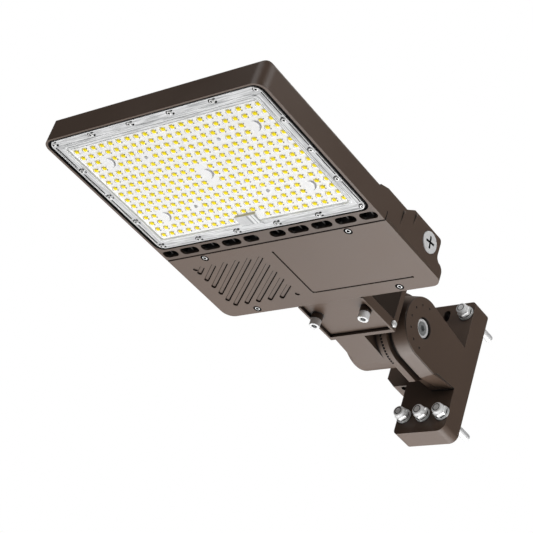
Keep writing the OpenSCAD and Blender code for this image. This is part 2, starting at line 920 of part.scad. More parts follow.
module lead_grommet() {
    color(rubber_black) at_head() translate([0, bay_front, lead_z]) rotate([-90, 0, 0]) difference() {
        union() {
            translate([0, 0, -bulkhead / 3]) cylinder(h = bulkhead / 3, r = lead_bore_r - fit_gap);
            cylinder(h = grommet_lip, r = lead_bore_r + grommet_lip);
        }
        for (s = [-1, 1])
            translate([s * lead_gap / 2, 0, -bulkhead])
                cylinder(h = 2 * bulkhead, r = lead_r + fit_gap);
    }
}

module cable_gland() {
    color("#2a2826") at_head() entry_axis(bay_back) difference() {
        union() {
            translate([0, 0, -gland_flange_t])
                cylinder(h = gland_flange_t, r = gland_flange_r, $fn = 6);
            cylinder(h = wall + gland_thread_l, r = entry_r);
        }
        translate([0, 0, -gland_flange_t - overrun])
            cylinder(h = gland_flange_t + wall + gland_thread_l + 2 * overrun, r = gland_bore_r);
    }
}

module gland_nut() {
    color("#2a2826") at_head() entry_axis(-back_gap) difference() {
        cylinder(h = gland_nut_t, r = gland_r, $fn = 6);
        translate([0, 0, -overrun]) cylinder(h = gland_nut_t + 2 * overrun, r = entry_r + fit_gap);
    }
}

module side_plug() {
    shank_r = plug_d / 2 * plug_shank_share;
    face = half_w - plug_recess + plug_seal_t + plug_head_t;
    slot_l = plug_d * plug_slot_l_share;
    color("#b9bcbe") at_head() difference() {
        union() {
            plug_axis(face - plug_head_t) cylinder(h = plug_head_t, r = plug_d / 2);
            plug_axis(face - plug_head_t - plug_l) cylinder(h = plug_l, r = shank_r);
        }
        for (turn = [0, 90])
            plug_axis(face - plug_slot_d) rotate([0, 0, turn + plug_slot_turn])
                translate([-slot_l / 2, -plug_slot_w / 2, 0])
                    cube([slot_l, plug_slot_w, plug_slot_d + overrun]);
    }
}

module plug_seal() {
    shank_r = plug_d / 2 * plug_shank_share;
    color(rubber_black) at_head() plug_axis(half_w - plug_recess) difference() {
        cylinder(h = plug_seal_t, r = plug_d / 2);
        translate([0, 0, -overrun]) cylinder(h = plug_seal_t + 2 * overrun, r = shank_r + run_gap);
    }
}

// Closed band round the driver bay; grow is the clearance on each side of it
module cover_seal_band(width, z0, z1, grow) {
    w = head_w - 2 * (bay_wall - seal_inset) + 2 * grow;
    y0 = bay_front - seal_inset - grow;
    y1 = bay_back + seal_inset + grow;
    difference() {
        slab(w, y0, y1, driver_corner_r, driver_corner_r, z0, z1);
        slab(w - 2 * width, y0 + width, y1 - width, driver_corner_r / 2, driver_corner_r / 2,
            z0 - overrun, z1 + overrun);
    }
}

module cover_gasket() {
    color(rubber_black) at_head()
        cover_seal_band(seal_w, cover_t + rest_gap, cover_t + cover_gap + seal_t, 0);
}

// Slots of the diamond: each runs aslant between two sides of the pattern's rectangle
module diamond() {
    r = diamond_slot_w / 2;
    c = cos(diamond_angle);
    s = sin(diamond_angle);
    edge_x = diamond_w / 2 - r;
    translate([diamond_x, -cover_l + diamond_front, 0]) {
        for (k = [1:diamond_slots]) {
            x = k * diamond_step - diamond_w / 2;
            start = max(r / s, (x - edge_x) / c);
            end = min((diamond_l - r) / s, (x + edge_x) / c);
            translate([x, 0, 0]) rotate([0, 0, 180 - diamond_angle]) slot(start, end, r, diamond_depth);
        }
        diamond_dot(diamond_dot_in - [diamond_w / 2, 0], r);
        diamond_dot([diamond_w / 2, diamond_l] - diamond_dot_in, r);
    }
}

// A groove with round ends from x = a to x = b
module slot(a, b, r, depth) {
    translate([a, -r, -overrun]) cube([b - a, 2 * r, overrun + depth]);
    for (x = [a, b]) translate([x, 0, -overrun]) cylinder(h = overrun + depth, r = r);
}

module diamond_dot(p, r) {
    translate([p[0], p[1], -overrun]) cylinder(h = overrun + diamond_depth, r = r);
}

module cover_lines() {
    y0 = -cover_l + line_front;
    y1 = -line_back;
    translate([line_x - line_w / 2, y0, -overrun]) cube([line_w, y1 - y0, overrun + line_d]);
    translate([line_x - line_w / 2, y1 - line_w, -overrun])
        cube([line_end_x - line_x, line_w, overrun + line_d]);
    for (p = [[line_x, y0], [line_end_x, y1 - line_w / 2]])
        translate([p[0], p[1], -overrun]) cylinder(h = overrun + line_d, r = line_dot_r);
}

module driver_cover() {
    color(bronze) at_head() difference() {
        slab(head_w, -cover_l + cover_seam, 0, 0, rear_corner_r, 0, cover_t);
        diamond();
        cover_lines();
        for (p = cover_screw_spots) translate([p[0], p[1], -overrun]) {
            cylinder(h = cover_t + 2 * overrun, r = cover_screw_r + fit_gap);
            cylinder(h = overrun + cover_head_h, r = cover_head_r + cover_sink_gap);
        }
    }
}

module cover_screws() {
    color(steel_grey) at_head() for (p = cover_screw_spots)
        translate([p[0], p[1], cover_head_h])
            pan_screw(cover_screw_r, cover_screw_l - fit_gap, cover_head_r, cover_head_h);
}

// Side view of the arm box, in (y, z), with room for the head's foot
module sleeve_profile(front, back, low, high) {
    step = foot_clear + body_gap;
    polygon([[front, low], [back, low], [back, high], [-back_gap + sleeve_gap, high],
        [-back_gap + sleeve_gap, step + foot_r / 2], [-back_gap / 2, step], [front, step - foot_r]]);
}

module teeth(face, dir) {
    for (k = [0:tooth_count - 1])
        at_pivot() translate([face, 0, 0]) rotate([k * 360 / tooth_count, 0, 0])
            translate([dir > 0 ? -tooth_inset : -tooth_h, -tooth_w / 2, drum_r - tooth_l])
                cube([tooth_h + tooth_inset, tooth_w, tooth_l - tooth_inset]);
}

module x_drum(x0, x1, r) {
    at_pivot() translate([x0, 0, 0]) rotate([0, 90, 0]) cylinder(h = x1 - x0, r = r, $fn = 96);
}

// Neck that blends the box's back into the drum
module neck() {
    box_back = sleeve_back + head_back - pivot_y;
    low = sleeve_low - rim_drop;
    at_pivot() translate([neck_left, 0, 0]) rotate([90, 0, 90]) linear_extrude(neck_right - neck_left)
        polygon([[box_back - overrun, low], [0, -drum_r], [0, drum_r], [box_back - overrun, neck_top]]);
}

module arm_sleeve() {
    inner_w = sleeve_w - 2 * sleeve_wall;
    high = sleeve_low + sleeve_h;
    panel_top = sleeve_low + panel_recess + panel_t;
    color(bronze) difference() {
        union() {
            at_head() difference() {
                across(sleeve_w) sleeve_profile(sleeve_gap, sleeve_back, sleeve_low, high);
                across(inner_w) polygon([
                    [-back_gap - overrun, tenon_low - fit_gap],
                        [sleeve_gap + sleeve_rim, tenon_low - fit_gap],
                    [sleeve_gap + sleeve_rim, panel_top], [sleeve_back - sleeve_back_wall, panel_top],
                    [sleeve_back - sleeve_back_wall, high - sleeve_top_wall],
                        [-back_gap - overrun, high - sleeve_top_wall]]);
            }
            neck();
            x_drum(drum_left, arm_face, drum_r);
            teeth(arm_face, 1);
        }
        at_head() translate([0, 0, sleeve_low - overrun])
            linear_extrude(panel_top - sleeve_low + overrun)
                translate([-sleeve_w / 2 + sleeve_rim, sleeve_gap - overrun])
                    square([sleeve_w - 2 * sleeve_rim,
                        sleeve_back - sleeve_back_wall - sleeve_gap + overrun]);
        side_panel_slots(side_panel_t, 0);
        side_screw_holes();
        x_drum(drum_left - overrun, drum_floor, drum_recess_r);
        x_drum(drum_floor + drum_floor_t, seam_x + overrun, drum_recess_r - tooth_l);
        x_drum(drum_left, seam_x, pivot_r + run_gap);
        sleeve_bush_at() translate([0, 0, -overrun])
            cylinder(h = sleeve_top_wall + 2 * overrun, r = sleeve_bush_r);
    }
}

module sleeve_bush_at() {
    at_head() translate([sleeve_bush_x, sleeve_bush_y, sleeve_low + sleeve_h - sleeve_top_wall])
        children();
}

// Flat recesses in the sides of the arm box; the panels fill them
module side_panel_slots(depth, gap) {
    y0 = -back_gap + side_panel_front;
    y1 = sleeve_back - side_panel_back;
    z1 = sleeve_low + sleeve_h - side_panel_top;
    extra = gap > 0 ? 0 : overrun;
    for (s = [-1, 1]) at_head()
        translate([s * (sleeve_w / 2 - depth / 2 + extra / 2) - (depth + extra) / 2, 0, 0])
            rotate([90, 0, 90]) linear_extrude(depth + extra)
                polygon([[side_panel_low + gap, side_panel_low + gap], [y1 - gap, side_panel_low + gap],
                    [y1 - gap, z1 - gap], [y0 + gap, z1 - gap], [y0 + gap, foot_clear + foot_r + gap],
                    [side_panel_low + gap, foot_clear + foot_r + gap]]);
}

module side_screw_at(s) {
    at_head() translate([s * sleeve_w / 2, sleeve_back - side_screw_y, sleeve_low + side_screw_z])
        rotate([0, s * -90, 0]) children();
}

module side_screw_holes() {
    for (s = [-1, 1]) side_screw_at(s) translate([0, 0, -overrun])
        cylinder(h = side_screw_l + overrun + fit_gap, r = side_screw_r + fit_gap);
}

module sleeve_panel() {
    color(bronze) difference() {
        at_head() panel_plate();
        side_screw_holes();
    }
}

module panel_plate() {
    low = sleeve_low + panel_recess;
    w = sleeve_w - 2 * (sleeve_rim + panel_gap);
    difference() {
        union() {
            slab(w, sleeve_gap, sleeve_back - sleeve_back_wall - panel_gap, panel_gap, panel_gap, low,
                low + panel_t);
            for (s = [-1, 1]) translate([s * clamp_x, clamp_y, low - boss_h])
                cylinder(h = boss_h + panel_t, r = boss_r);
            for (s = [-1, 1]) translate([s * clamp_x, clamp_y, low + panel_t - fit_gap])
                cylinder(h = tenon_low - low - panel_t + fit_gap, r = pad_r);
        }
        for (s = [-1, 1]) translate([s * clamp_x, clamp_y, low - boss_h - overrun])
            cylinder(h = tenon_low - low + boss_h + 2 * overrun, r = clamp_r + fit_gap);
    }
}

module side_panels() {
    color("#3d342d") side_panel_slots(side_panel_t, panel_gap);
}

module side_screws() {
    color(steel_grey) for (s = [-1, 1]) side_screw_at(s) union() {
        cylinder(h = side_screw_l, r = side_screw_r);
        translate([0, 0, -side_head_h / 2]) cylinder(h = side_head_h / 2, r = side_head_r);
        translate([0, 0, -side_head_h])
            cylinder(h = side_head_h / 2, r1 = side_head_r * 0.6, r2 = side_head_r);
    }
}

module clamp_bolts() {
    start = sleeve_low + panel_recess - boss_h - clamp_bare - clamp_head_h;
    shank = tenon_low + clamp_in - start - clamp_head_h;
    color(steel_grey) at_head() for (s = [-1, 1]) translate([s * clamp_x, clamp_y, start])
        difference() {
        union() {
            cylinder(h = clamp_head_h, r = clamp_head_r);
            translate([0, 0, clamp_head_h]) cylinder(h = shank, r = clamp_r);
        }
        translate([0, 0, -overrun])
            cylinder(h = overrun + clamp_head_h * socket_depth_share, r = clamp_socket_r, $fn = 6);
    }
}

module sleeve_grommet() {
    color(rubber_black) sleeve_bush_at()
        bush(sleeve_bush_r - 2 * grommet_wall, sleeve_bush_r, sleeve_top_wall);
}

nut_seat = drum_floor - body_gap - spring_t;

module pivot_bolt() {
    head_x = sink_floor + pivot_washer_t;
    end_x = nut_seat - pivot_nut_t - pivot_r / 3;
    color(steel_grey) difference() {
        union() {
            x_drum(end_x, head_x, pivot_r);
            x_drum(head_x, head_x + pivot_head_h, pivot_head_r);
        }
        at_pivot() translate([head_x + pivot_head_h * (1 - socket_depth_share), 0, 0])
            rotate([0, 90, 0])
            cylinder(h = pivot_head_h, r = pivot_socket_r, $fn = 6);
    }
}

module pivot_washer() {
    color("#e4e6e7") difference() {
        x_drum(sink_floor, sink_floor + pivot_washer_t, pivot_washer_r);
        x_drum(sink_floor - overrun, sink_floor + pivot_washer_t + overrun, pivot_r + fit_gap);
    }
}

module pivot_spring_washer() {
    color(steel_grey) difference() {
        x_drum(nut_seat, nut_seat + spring_t, spring_r);
        x_drum(nut_seat - overrun, nut_seat + spring_t + overrun, pivot_r + fit_gap);
    }
}

module pivot_nut() {
    color(steel_grey) difference() {
        at_pivot() translate([nut_seat - pivot_nut_t, 0, 0]) rotate([0, 90, 0])
            cylinder(h = pivot_nut_t, r = pivot_nut_af * hex_share, $fn = 6);
        x_drum(nut_seat - pivot_nut_t - overrun, nut_seat + overrun, pivot_r + fit_gap);
    }
}

// Side view of the bracket's half of the knuckle, running back into the plate
module lobe(r) {
    reach = pivot_reach - plate_t + overrun;
    step = max(r - gusset_low, lobe_step);
    union() {
        circle(r, $fn = 96);
        polygon([[0, -r], [lobe_reach, -r - lobe_step / 2],
            [lobe_reach + step, -gusset_low - lobe_step],
            [reach, -gusset_low], [reach, gusset_top], [0, r]]);
    }
}

module x_lobe(x0, x1, r) {
    at_pivot() translate([x0, 0, 0]) rotate([90, 0, 90]) linear_extrude(x1 - x0) lobe(r);
}

module band() {
    hull() {
        x_lobe(band_start, band_start + disc_t, band_root_r);
        x_lobe(plate_right - 2 * disc_t, plate_right - disc_t, disc_r + disc_t / 2);
    }
}

// Front view of the wall plate, in (x, z)
module plate_outline() {
    difference() {
        translate([plate_left, -plate_foot]) square([plate_w, plate_h]);
        translate([plate_left - overrun, -plate_foot - overrun])
            square([tab_left - plate_left + overrun, wing_low + plate_foot + overrun]);
        polygon([[plate_left - overrun, wing_low + wing_chamfer + overrun],
            [plate_left - overrun, wing_low - overrun],
            [plate_left + wing_chamfer + overrun, wing_low - overrun]]);
        corner_cut(plate_left, plate_top_z, 1, -1, plate_corner_r);
        corner_cut(plate_right, plate_top_z, -1, -1, plate_corner_r);
        corner_cut(plate_right, -plate_foot, -1, 1, foot_corner_r);
        corner_cut(tab_left, -plate_foot, 1, 1, plate_corner_r);
    }
}

// Turns a drawing in (x, z) into a solid from y0 to y1
module on_wall(y0, y1) {
    translate([0, y1, 0]) rotate([90, 0, 0]) linear_extrude(y1 - y0) children();
}

// Hollows in the back of the plate, between a rim, the bolt bosses and a web
module plate_hollow() {
    upper_low = wing_low + plate_side;
    difference() {
        union() {
            translate([plate_left + plate_side, upper_low + wing_chamfer])
                square([plate_w - 2 * plate_side, plate_top_z - plate_side - upper_low - wing_chamfer]);
            translate([tab_left + plate_side, -plate_foot + plate_side])
                square([tab_w - 2 * plate_side,
                    plate_foot - 3 * plate_side + upper_low + wing_chamfer]);
        }
        for (p = wall_bolt_spots) translate(p) circle(bolt_boss_r);
        translate([slot_x, bolt_high_z]) square([slot_w, slot_l] + [2, 2] * plate_side, center = true);
    }
}

module plate_slot() {
    translate([slot_x, bolt_high_z])
        plan(slot_w, -slot_l / 2, slot_l / 2, slot_w / 2 - fit_gap, slot_w / 2 - fit_gap);
}

module wall_bracket() {
    color(bronze) difference() {
        union() {
            on_wall(-plate_t, 0) plate_outline();
            x_lobe(bracket_face, groove_start, ring_r);
            x_lobe(groove_start - overrun, band_start + overrun, knuckle_groove_r);
            band();
            x_lobe(plate_right - 2 * disc_t, plate_right, disc_r);
            teeth(bracket_face, -1);
        }
        on_wall(-plate_t + plate_skin, overrun) plate_hollow();
        on_wall(-plate_t - overrun, overrun) plate_slot();
        for (p = wall_bolt_spots) on_wall(-plate_t - overrun, overrun) translate(p)
            circle(bolt_r + fit_gap);
        x_drum(bracket_face - overrun - tooth_h, plate_right + overrun, pivot_r + run_gap);
        x_drum(sink_floor, plate_right + overrun, pivot_sink_r);
        x_drum(bracket_face - overrun - tooth_h, bracket_face + drum_floor_t / 2,
            drum_recess_r - tooth_l);
        translate([tab_left - 1.5 * pocket_r, -plate_t + 1.5 * pocket_r, wing_low - overrun])
            cylinder(h = pocket_d + overrun, r = pocket_r);
        for (a = dimple_angles)
            at_pivot() translate([plate_right - dimple_d, dimple_ring_r * cos(a),
                dimple_ring_r * sin(a)])
                rotate([0, 90, 0]) cylinder(h = dimple_d + overrun, r = dimple_r, $fn = 24);
    }
}

module wall_studs() {
    front = plate_t + washer_t + stud_in_nut;
    color(steel_grey) for (p = wall_bolt_spots) {
        on_wall(-front, stud_step) translate(p) circle(bolt_r - stud_relief);
        on_wall(stud_step, bolt_out) translate(p) circle(bolt_r);
    }
}

module wall_washers() {
    color(steel_grey) for (p = wall_bolt_spots) on_wall(-plate_t - washer_t, -plate_t) translate(p)
        difference() {
        circle(washer_r);
        circle(bolt_r + fit_gap);
    }
}

// Dome nuts: a hexagon, a round cap and a blind hole
module wall_nuts() {
    base = plate_t + washer_t;
    color("#d3d5d6") for (p = wall_bolt_spots) translate([p[0], -base, p[1]]) rotate([90, 0, 0])
        difference() {
        union() {
            rotate([0, 0, 30]) cylinder(h = nut_t, r = nut_af * hex_share, $fn = 6);
            intersection() {
                cylinder(h = nut_t + cap_h, r = cap_r);
                translate([0, 0, nut_t + cap_h - cap_dome_share * cap_r])
                    sphere(cap_dome_share * cap_r);
            }
        }
        translate([0, 0, -overrun]) cylinder(h = overrun + stud_in_nut + fit_gap, r = bolt_r + fit_gap);
    }
}

housing();
led_board();
led_chips();
board_screws();
board_connector();
lens_plate();
lens_gasket();
lens_screws();
led_driver();
driver_screws();
surge_protector();
terminal_block();
led_leads();
supply_leads();
lead_grommet();
cable_gland();
gland_nut();
side_plug();
plug_seal();
cover_gasket();
driver_cover();
cover_screws();
arm_sleeve();
sleeve_panel();
side_panels();
side_screws();
clamp_bolts();
sleeve_grommet();
pivot_bolt();
pivot_washer();
pivot_spring_washer();
pivot_nut();
wall_bracket();
wall_studs();
wall_washers();
wall_nuts();
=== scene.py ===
"""Shoebox area light on a tilting wall bracket: finishes, small detail, camera and light."""
import json
import math

import bmesh
import bpy
from mathutils import Matrix, Vector


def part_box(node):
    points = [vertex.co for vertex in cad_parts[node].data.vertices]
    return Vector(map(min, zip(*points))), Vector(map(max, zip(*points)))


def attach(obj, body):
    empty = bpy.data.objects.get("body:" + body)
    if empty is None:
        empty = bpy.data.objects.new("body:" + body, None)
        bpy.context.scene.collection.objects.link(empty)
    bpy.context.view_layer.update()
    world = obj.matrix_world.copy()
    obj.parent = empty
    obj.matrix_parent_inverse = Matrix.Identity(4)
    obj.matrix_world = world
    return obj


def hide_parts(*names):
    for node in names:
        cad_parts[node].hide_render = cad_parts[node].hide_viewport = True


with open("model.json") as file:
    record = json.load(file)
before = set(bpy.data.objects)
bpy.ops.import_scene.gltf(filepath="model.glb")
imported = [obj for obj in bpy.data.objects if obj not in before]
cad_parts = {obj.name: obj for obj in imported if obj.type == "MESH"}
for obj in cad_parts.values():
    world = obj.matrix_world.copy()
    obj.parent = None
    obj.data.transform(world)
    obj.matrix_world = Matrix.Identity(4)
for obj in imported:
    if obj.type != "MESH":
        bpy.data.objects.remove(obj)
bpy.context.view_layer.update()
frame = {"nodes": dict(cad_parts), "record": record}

MM = 0.001
ORIGIN = Vector((0, 0, 0))

# Measures in millimetres. Pieces of the head and its cover are measured from HEAD, the middle of the head's
# rear face at the underside of its rim
HEAD = Vector((0, -238, -38.5))
HEAD_HALF_W = 157
LENS_MID, LENS_HALF_W, LENS_HALF_L = -240.5, 149, 99.25
FLANGE_Z = 1.3
FIELD_Z = 3.0
COVER_L = 119.6
PLATE_T = 31

# The grid of LEDs, its empty places (column, row), and the blank posts of the lens that stand in some of them
LED_MID, PITCH_X, PITCH_Y, COLS, ROWS = -237.6, 13, 10.95, 21, 15
MID_COL, MID_ROW = COLS // 2, ROWS // 2
EMPTY = {(2, 2), (18, 2), (2, 3), (6, 3), (14, 3), (18, 3), (10, 6), (10, 7), (10, 8),
         (2, 11), (6, 11), (14, 11), (18, 11), (2, 12), (18, 12), (9, 14), (10, 14), (11, 14)}
LEDS = [(c, r) for c in range(COLS) for r in range(ROWS) if (c, r) not in EMPTY]
POSTS = [(2, 2.5), (18, 2.5), (10, 7), (2, 11.5), (18, 11.5)]

# x and z of the wall bolts
WALL_BOLTS = [(36.5, -66.5), (8.5, -66.5), (-19.5, -66.5), (34, 80), (-51.4, 80)]


def led(c, r):
    return Vector(((c - MID_COL) * PITCH_X, LED_MID + (r - MID_ROW) * PITCH_Y, 0))


def polar(degrees, radius=1.0):
    """x and y at an angle and a distance."""
    return radius * math.cos(math.radians(degrees)), radius * math.sin(math.radians(degrees))


def rotated(axis, degrees):
    return Matrix.Rotation(math.radians(degrees), 4, axis)


# ---------------------------------------------------------------- materials

NOISE_ROUGH = 0.55
# Fine grain: its relief in metres, how much it darkens against the broad variation, and its share
GRAIN_DEPTH, GRAIN_DARK, GRAIN_SHARE = 0.00012, 2.2, 0.5
# Worn edges: cosine between the true and the rounded normal where wear is full and where it ends
EDGE_WORN, EDGE_CLEAN, EDGE_PALER = 0.8, 0.995, 1.8
# Openness of a spot in its near hollow and in its wide surroundings, from full painted shade to none
NEAR_FULL_SHADE, NEAR_NO_SHADE = 0.5, 0.86
WIDE_FULL_SHADE, WIDE_NO_SHADE, WIDE_REACH = 0.25, 0.8, 0.055
# Roughness varies by this share either way
ROUGH_LOW, ROUGH_HIGH = 0.86, 1.14
# Painted shade in the air duct above the vents and on the strip below it: middle line from the back, half
# depth, half width, and height above the rim's underside, each from its edge to where the shade is full or
# gone
DUCT_MID = 130.5
DUCT_DEPTH, DUCT_WIDTH, DUCT_HEIGHT = (11.5, 12.5), (153.7, 154.1), (2.0, 3.4)
STRIP_SHADE, DUCT_DARK = 0.2, 0.9
# Clear field of the lens: half its size about the LEDs, and where its edge turns milky
FIELD_HALF_X, FIELD_HALF_Y, FIELD_FADE = 137.5, 84.2, (-0.5, 0.8)
FIELD_ALPHA, FLANGE_ALPHA = 0.03, 0.95
FLOW_STRETCH = 0.05
LENS_IOR = 1.58


def shader(name):
    """A new material with its principled shader."""
    mat = bpy.data.materials.new(name)
    mat.use_nodes = True
    tree = mat.node_tree
    return mat, tree, tree.nodes["Principled BSDF"]


def node(tree, kind, **values):
    """A new node, with values for its sockets and settings."""
    n = tree.nodes.new("ShaderNode" + kind)
    for key, value in values.items():
        if key in n.inputs.keys():
            n.inputs[key].default_value = value
        else:
            setattr(n, key, value)
    return n


def noise(tree, coords, scale, detail=2.0):
    n = node(tree, "TexNoise", Scale=scale, Detail=detail, Roughness=NOISE_ROUGH)
    tree.links.new(coords, n.inputs["Vector"])
    return n.outputs["Fac"]


def ramp(tree, factor, low, high, start=0.3, end=0.7):
    """A colour that runs from low to high."""
    n = node(tree, "ValToRGB")
    for stop, place, colour in zip(n.color_ramp.elements, (start, end), (low, high)):
        stop.position, stop.color = place, (*colour, 1)
    tree.links.new(factor, n.inputs["Fac"])
    return n.outputs["Color"]


def spread(tree, factor, low, high, start=0.3, end=0.7):
    """A number that runs from low to high."""
    n = node(tree, "MapRange")
    for key, value in (("From Min", start), ("From Max", end), ("To Min", low), ("To Max", high)):
        n.inputs[key].default_value = value
    tree.links.new(factor, n.inputs["Value"])
    return n.outputs["Result"]


def math_node(tree, operation, a, b=None):
    """Arithmetic on one or two sockets or numbers."""
    n = node(tree, "Math", operation=operation)
    for slot, value in ((0, a), (1, b)):
        if value is None:
            continue
        if isinstance(value, (int, float)):
            n.inputs[slot].default_value = value
        else:
            tree.links.new(value, n.inputs[slot])
    return n.outputs[0]


def mixed(tree, first, second, share, blend="MIX"):
    """Two colours mixed or multiplied; share is a socket or a number."""
    n = node(tree, "MixRGB", blend_type=blend)
    for slot, value in (("Color1", first), ("Color2", second), ("Fac", share)):
        if isinstance(value, bpy.types.NodeSocket):
            tree.links.new(value, n.inputs[slot])
        else:
            n.inputs[slot].default_value = value
    return n.outputs["Color"]


def split(tree, coords):
    """The x, y and z sockets of some coordinates."""
    n = node(tree, "SeparateXYZ")
    tree.links.new(coords, n.inputs[0])
    return n.outputs["X"], n.outputs["Y"], n.outputs["Z"]


def distance_along(tree, socket, middle=0.0):
    """How far a coordinate is from a middle given in millimetres, in metres."""
    if middle:
        socket = math_node(tree, "ADD", socket, -MM * middle)
    return math_node(tree, "ABSOLUTE", socket)


def duct_shade(tree, coords):
    """Painted shade: dark inside the air duct above the vents, and lighter on the strip below it."""
    x, y, z = split(tree, coords)
    across = distance_along(tree, y, HEAD.y - DUCT_MID)
    inside = spread(tree, across, 1.0, 0.0, *[MM * v for v in DUCT_DEPTH])
    inside = math_node(tree, "MULTIPLY", inside,
                       spread(tree, distance_along(tree, x), 1.0, 0.0, *[MM * v for v in DUCT_WIDTH]))
    above = spread(tree, z, STRIP_SHADE, DUCT_DARK, *[MM * (HEAD.z + v) for v in DUCT_HEIGHT])
    return spread(tree, math_node(tree, "MULTIPLY", inside, above), 1.0, 0.0, 0.0, 1.0)


def finish(name, colour, rough, metal=0.0, vary=0.06, grain=900.0, bump=0.2, specular=0.5, edge=0.0,
           edge_colour=None, round_edge=0.0004, blotch=9.0, shade_reach=0.0, shade_darkest=0.12, duct=False, wide_shade=0.0):
    """Painted, cast, plated or moulded surface: fine grain, soft blotches, worn edges, painted shade in
    grooves and hollows.
    """
    mat, tree, skin = shader(name)
    link = tree.links.new
    coords = node(tree, "TexCoord").outputs["Object"]
    fine = noise(tree, coords, grain, 3.0)
    broad = noise(tree, coords, blotch, 4.0)
    paint = ramp(tree, broad, [c * (1 - vary) for c in colour], [min(1.0, c * (1 + vary)) for c in colour])
    specks = ramp(tree, fine, (1 - GRAIN_DARK * vary,) * 3, (1, 1, 1))
    surface = mixed(tree, paint, specks, GRAIN_SHARE, "MULTIPLY")
    bevel = node(tree, "Bevel", Radius=round_edge, samples=4)
    if edge:
        dot = node(tree, "VectorMath", operation="DOT_PRODUCT")
        link(bevel.outputs["Normal"], dot.inputs[0])
        link(node(tree, "NewGeometry").outputs["True Normal"], dot.inputs[1])
        worn = (*(edge_colour or [min(1, c * EDGE_PALER) for c in colour]), 1)
        surface = mixed(tree, surface, worn,
                        spread(tree, dot.outputs["Value"], edge, 0.0, EDGE_WORN, EDGE_CLEAN))
    # Painted shade: darker where ambient occlusion finds a near hollow, and where wide surroundings shelter a
    # spot
    if shade_reach:
        hollow = node(tree, "AmbientOcclusion", Distance=shade_reach, samples=8)
        painted_shade = spread(tree, hollow.outputs["AO"], shade_darkest, 1.0, NEAR_FULL_SHADE, NEAR_NO_SHADE)
        if duct:
            painted_shade = math_node(tree, "MULTIPLY", painted_shade, duct_shade(tree, coords))
        if wide_shade:
            wide = node(tree, "AmbientOcclusion", Distance=WIDE_REACH, samples=8)
            painted_shade = math_node(tree, "MULTIPLY", painted_shade,
                             spread(tree, wide.outputs["AO"], wide_shade, 1.0, WIDE_FULL_SHADE, WIDE_NO_SHADE))
        surface = mixed(tree, surface, painted_shade, 1.0, "MULTIPLY")
    link(surface, skin.inputs["Base Color"])
    link(spread(tree, broad, rough * ROUGH_LOW, rough * ROUGH_HIGH), skin.inputs["Roughness"])
    skin.inputs["Metallic"].default_value = metal
    skin.inputs["Specular IOR Level"].default_value = specular
    relief = node(tree, "Bump", Strength=bump, Distance=GRAIN_DEPTH)
    link(fine, relief.inputs["Height"])
    link(bevel.outputs["Normal"], relief.inputs["Normal"])
    link(relief.outputs["Normal"], skin.inputs["Normal"])
    return mat


def plastic_relief(tree, skin, fine, strength, depth):
    """Slight unevenness of a moulded face."""
    relief = node(tree, "Bump", Strength=strength, Distance=depth)
    tree.links.new(fine, relief.inputs["Height"])
    tree.links.new(relief.outputs["Normal"], skin.inputs["Normal"])


def lens_finish():
    """Moulded clear lens: nearly clear over the board, milky along its flange, with faint flow marks."""
    mat, tree, skin = shader("lens_clear")
    link = tree.links.new
    coords = node(tree, "TexCoord").outputs["Object"]
    x, y, _ = split(tree, coords)
    out_x = math_node(tree, "SUBTRACT", distance_along(tree, x), MM * FIELD_HALF_X)
    out_y = math_node(tree, "SUBTRACT", distance_along(tree, y, HEAD.y + LED_MID), MM * FIELD_HALF_Y)
    out = math_node(tree, "MAXIMUM", out_x, out_y)
    flange = spread(tree, out, 0.0, 1.0, *[MM * v for v in FIELD_FADE])
    fine = noise(tree, coords, 260.0, 2.0)
    # Flow marks run along the flange
    along = node(tree, "CombineXYZ")
    link(out, along.inputs[0])
    link(math_node(tree, "MULTIPLY", x, FLOW_STRETCH), along.inputs[1])
    link(math_node(tree, "MULTIPLY", y, FLOW_STRETCH), along.inputs[2])
    streaks = noise(tree, along.outputs[0], 760.0, 2.0)
    link(ramp(tree, streaks, (0.44, 0.445, 0.45), (0.90, 0.905, 0.91), 0.34, 0.62), skin.inputs["Base Color"])
    # The clear plastic throws next to no shadow on the board
    lit = math_node(tree, "SUBTRACT", 1.0, node(tree, "LightPath").outputs["Is Shadow Ray"])
    alpha = spread(tree, flange, FIELD_ALPHA, FLANGE_ALPHA, 0.0, 1.0)
    link(math_node(tree, "MULTIPLY", lit, alpha), skin.inputs["Alpha"])
    link(spread(tree, fine, 0.10, 0.2), skin.inputs["Roughness"])
    skin.inputs["IOR"].default_value = LENS_IOR
    plastic_relief(tree, skin, fine, 0.12, 0.0002)
    return mat


def clear_finish(name, low, high, alpha, rough=0.15):
    """Moulded clear plastic detail on the lens."""
    mat, tree, skin = shader(name)
    coords = node(tree, "TexCoord").outputs["Object"]
    fine = noise(tree, coords, 400.0, 2.0)
    tree.links.new(ramp(tree, noise(tree, coords, 60.0, 2.0), low, high), skin.inputs["Base Color"])
    tree.links.new(spread(tree, fine, rough * 0.8, rough * 1.3), skin.inputs["Roughness"])
    skin.inputs["Alpha"].default_value = alpha
    plastic_relief(tree, skin, fine, 0.1, 0.0001)
    return mat


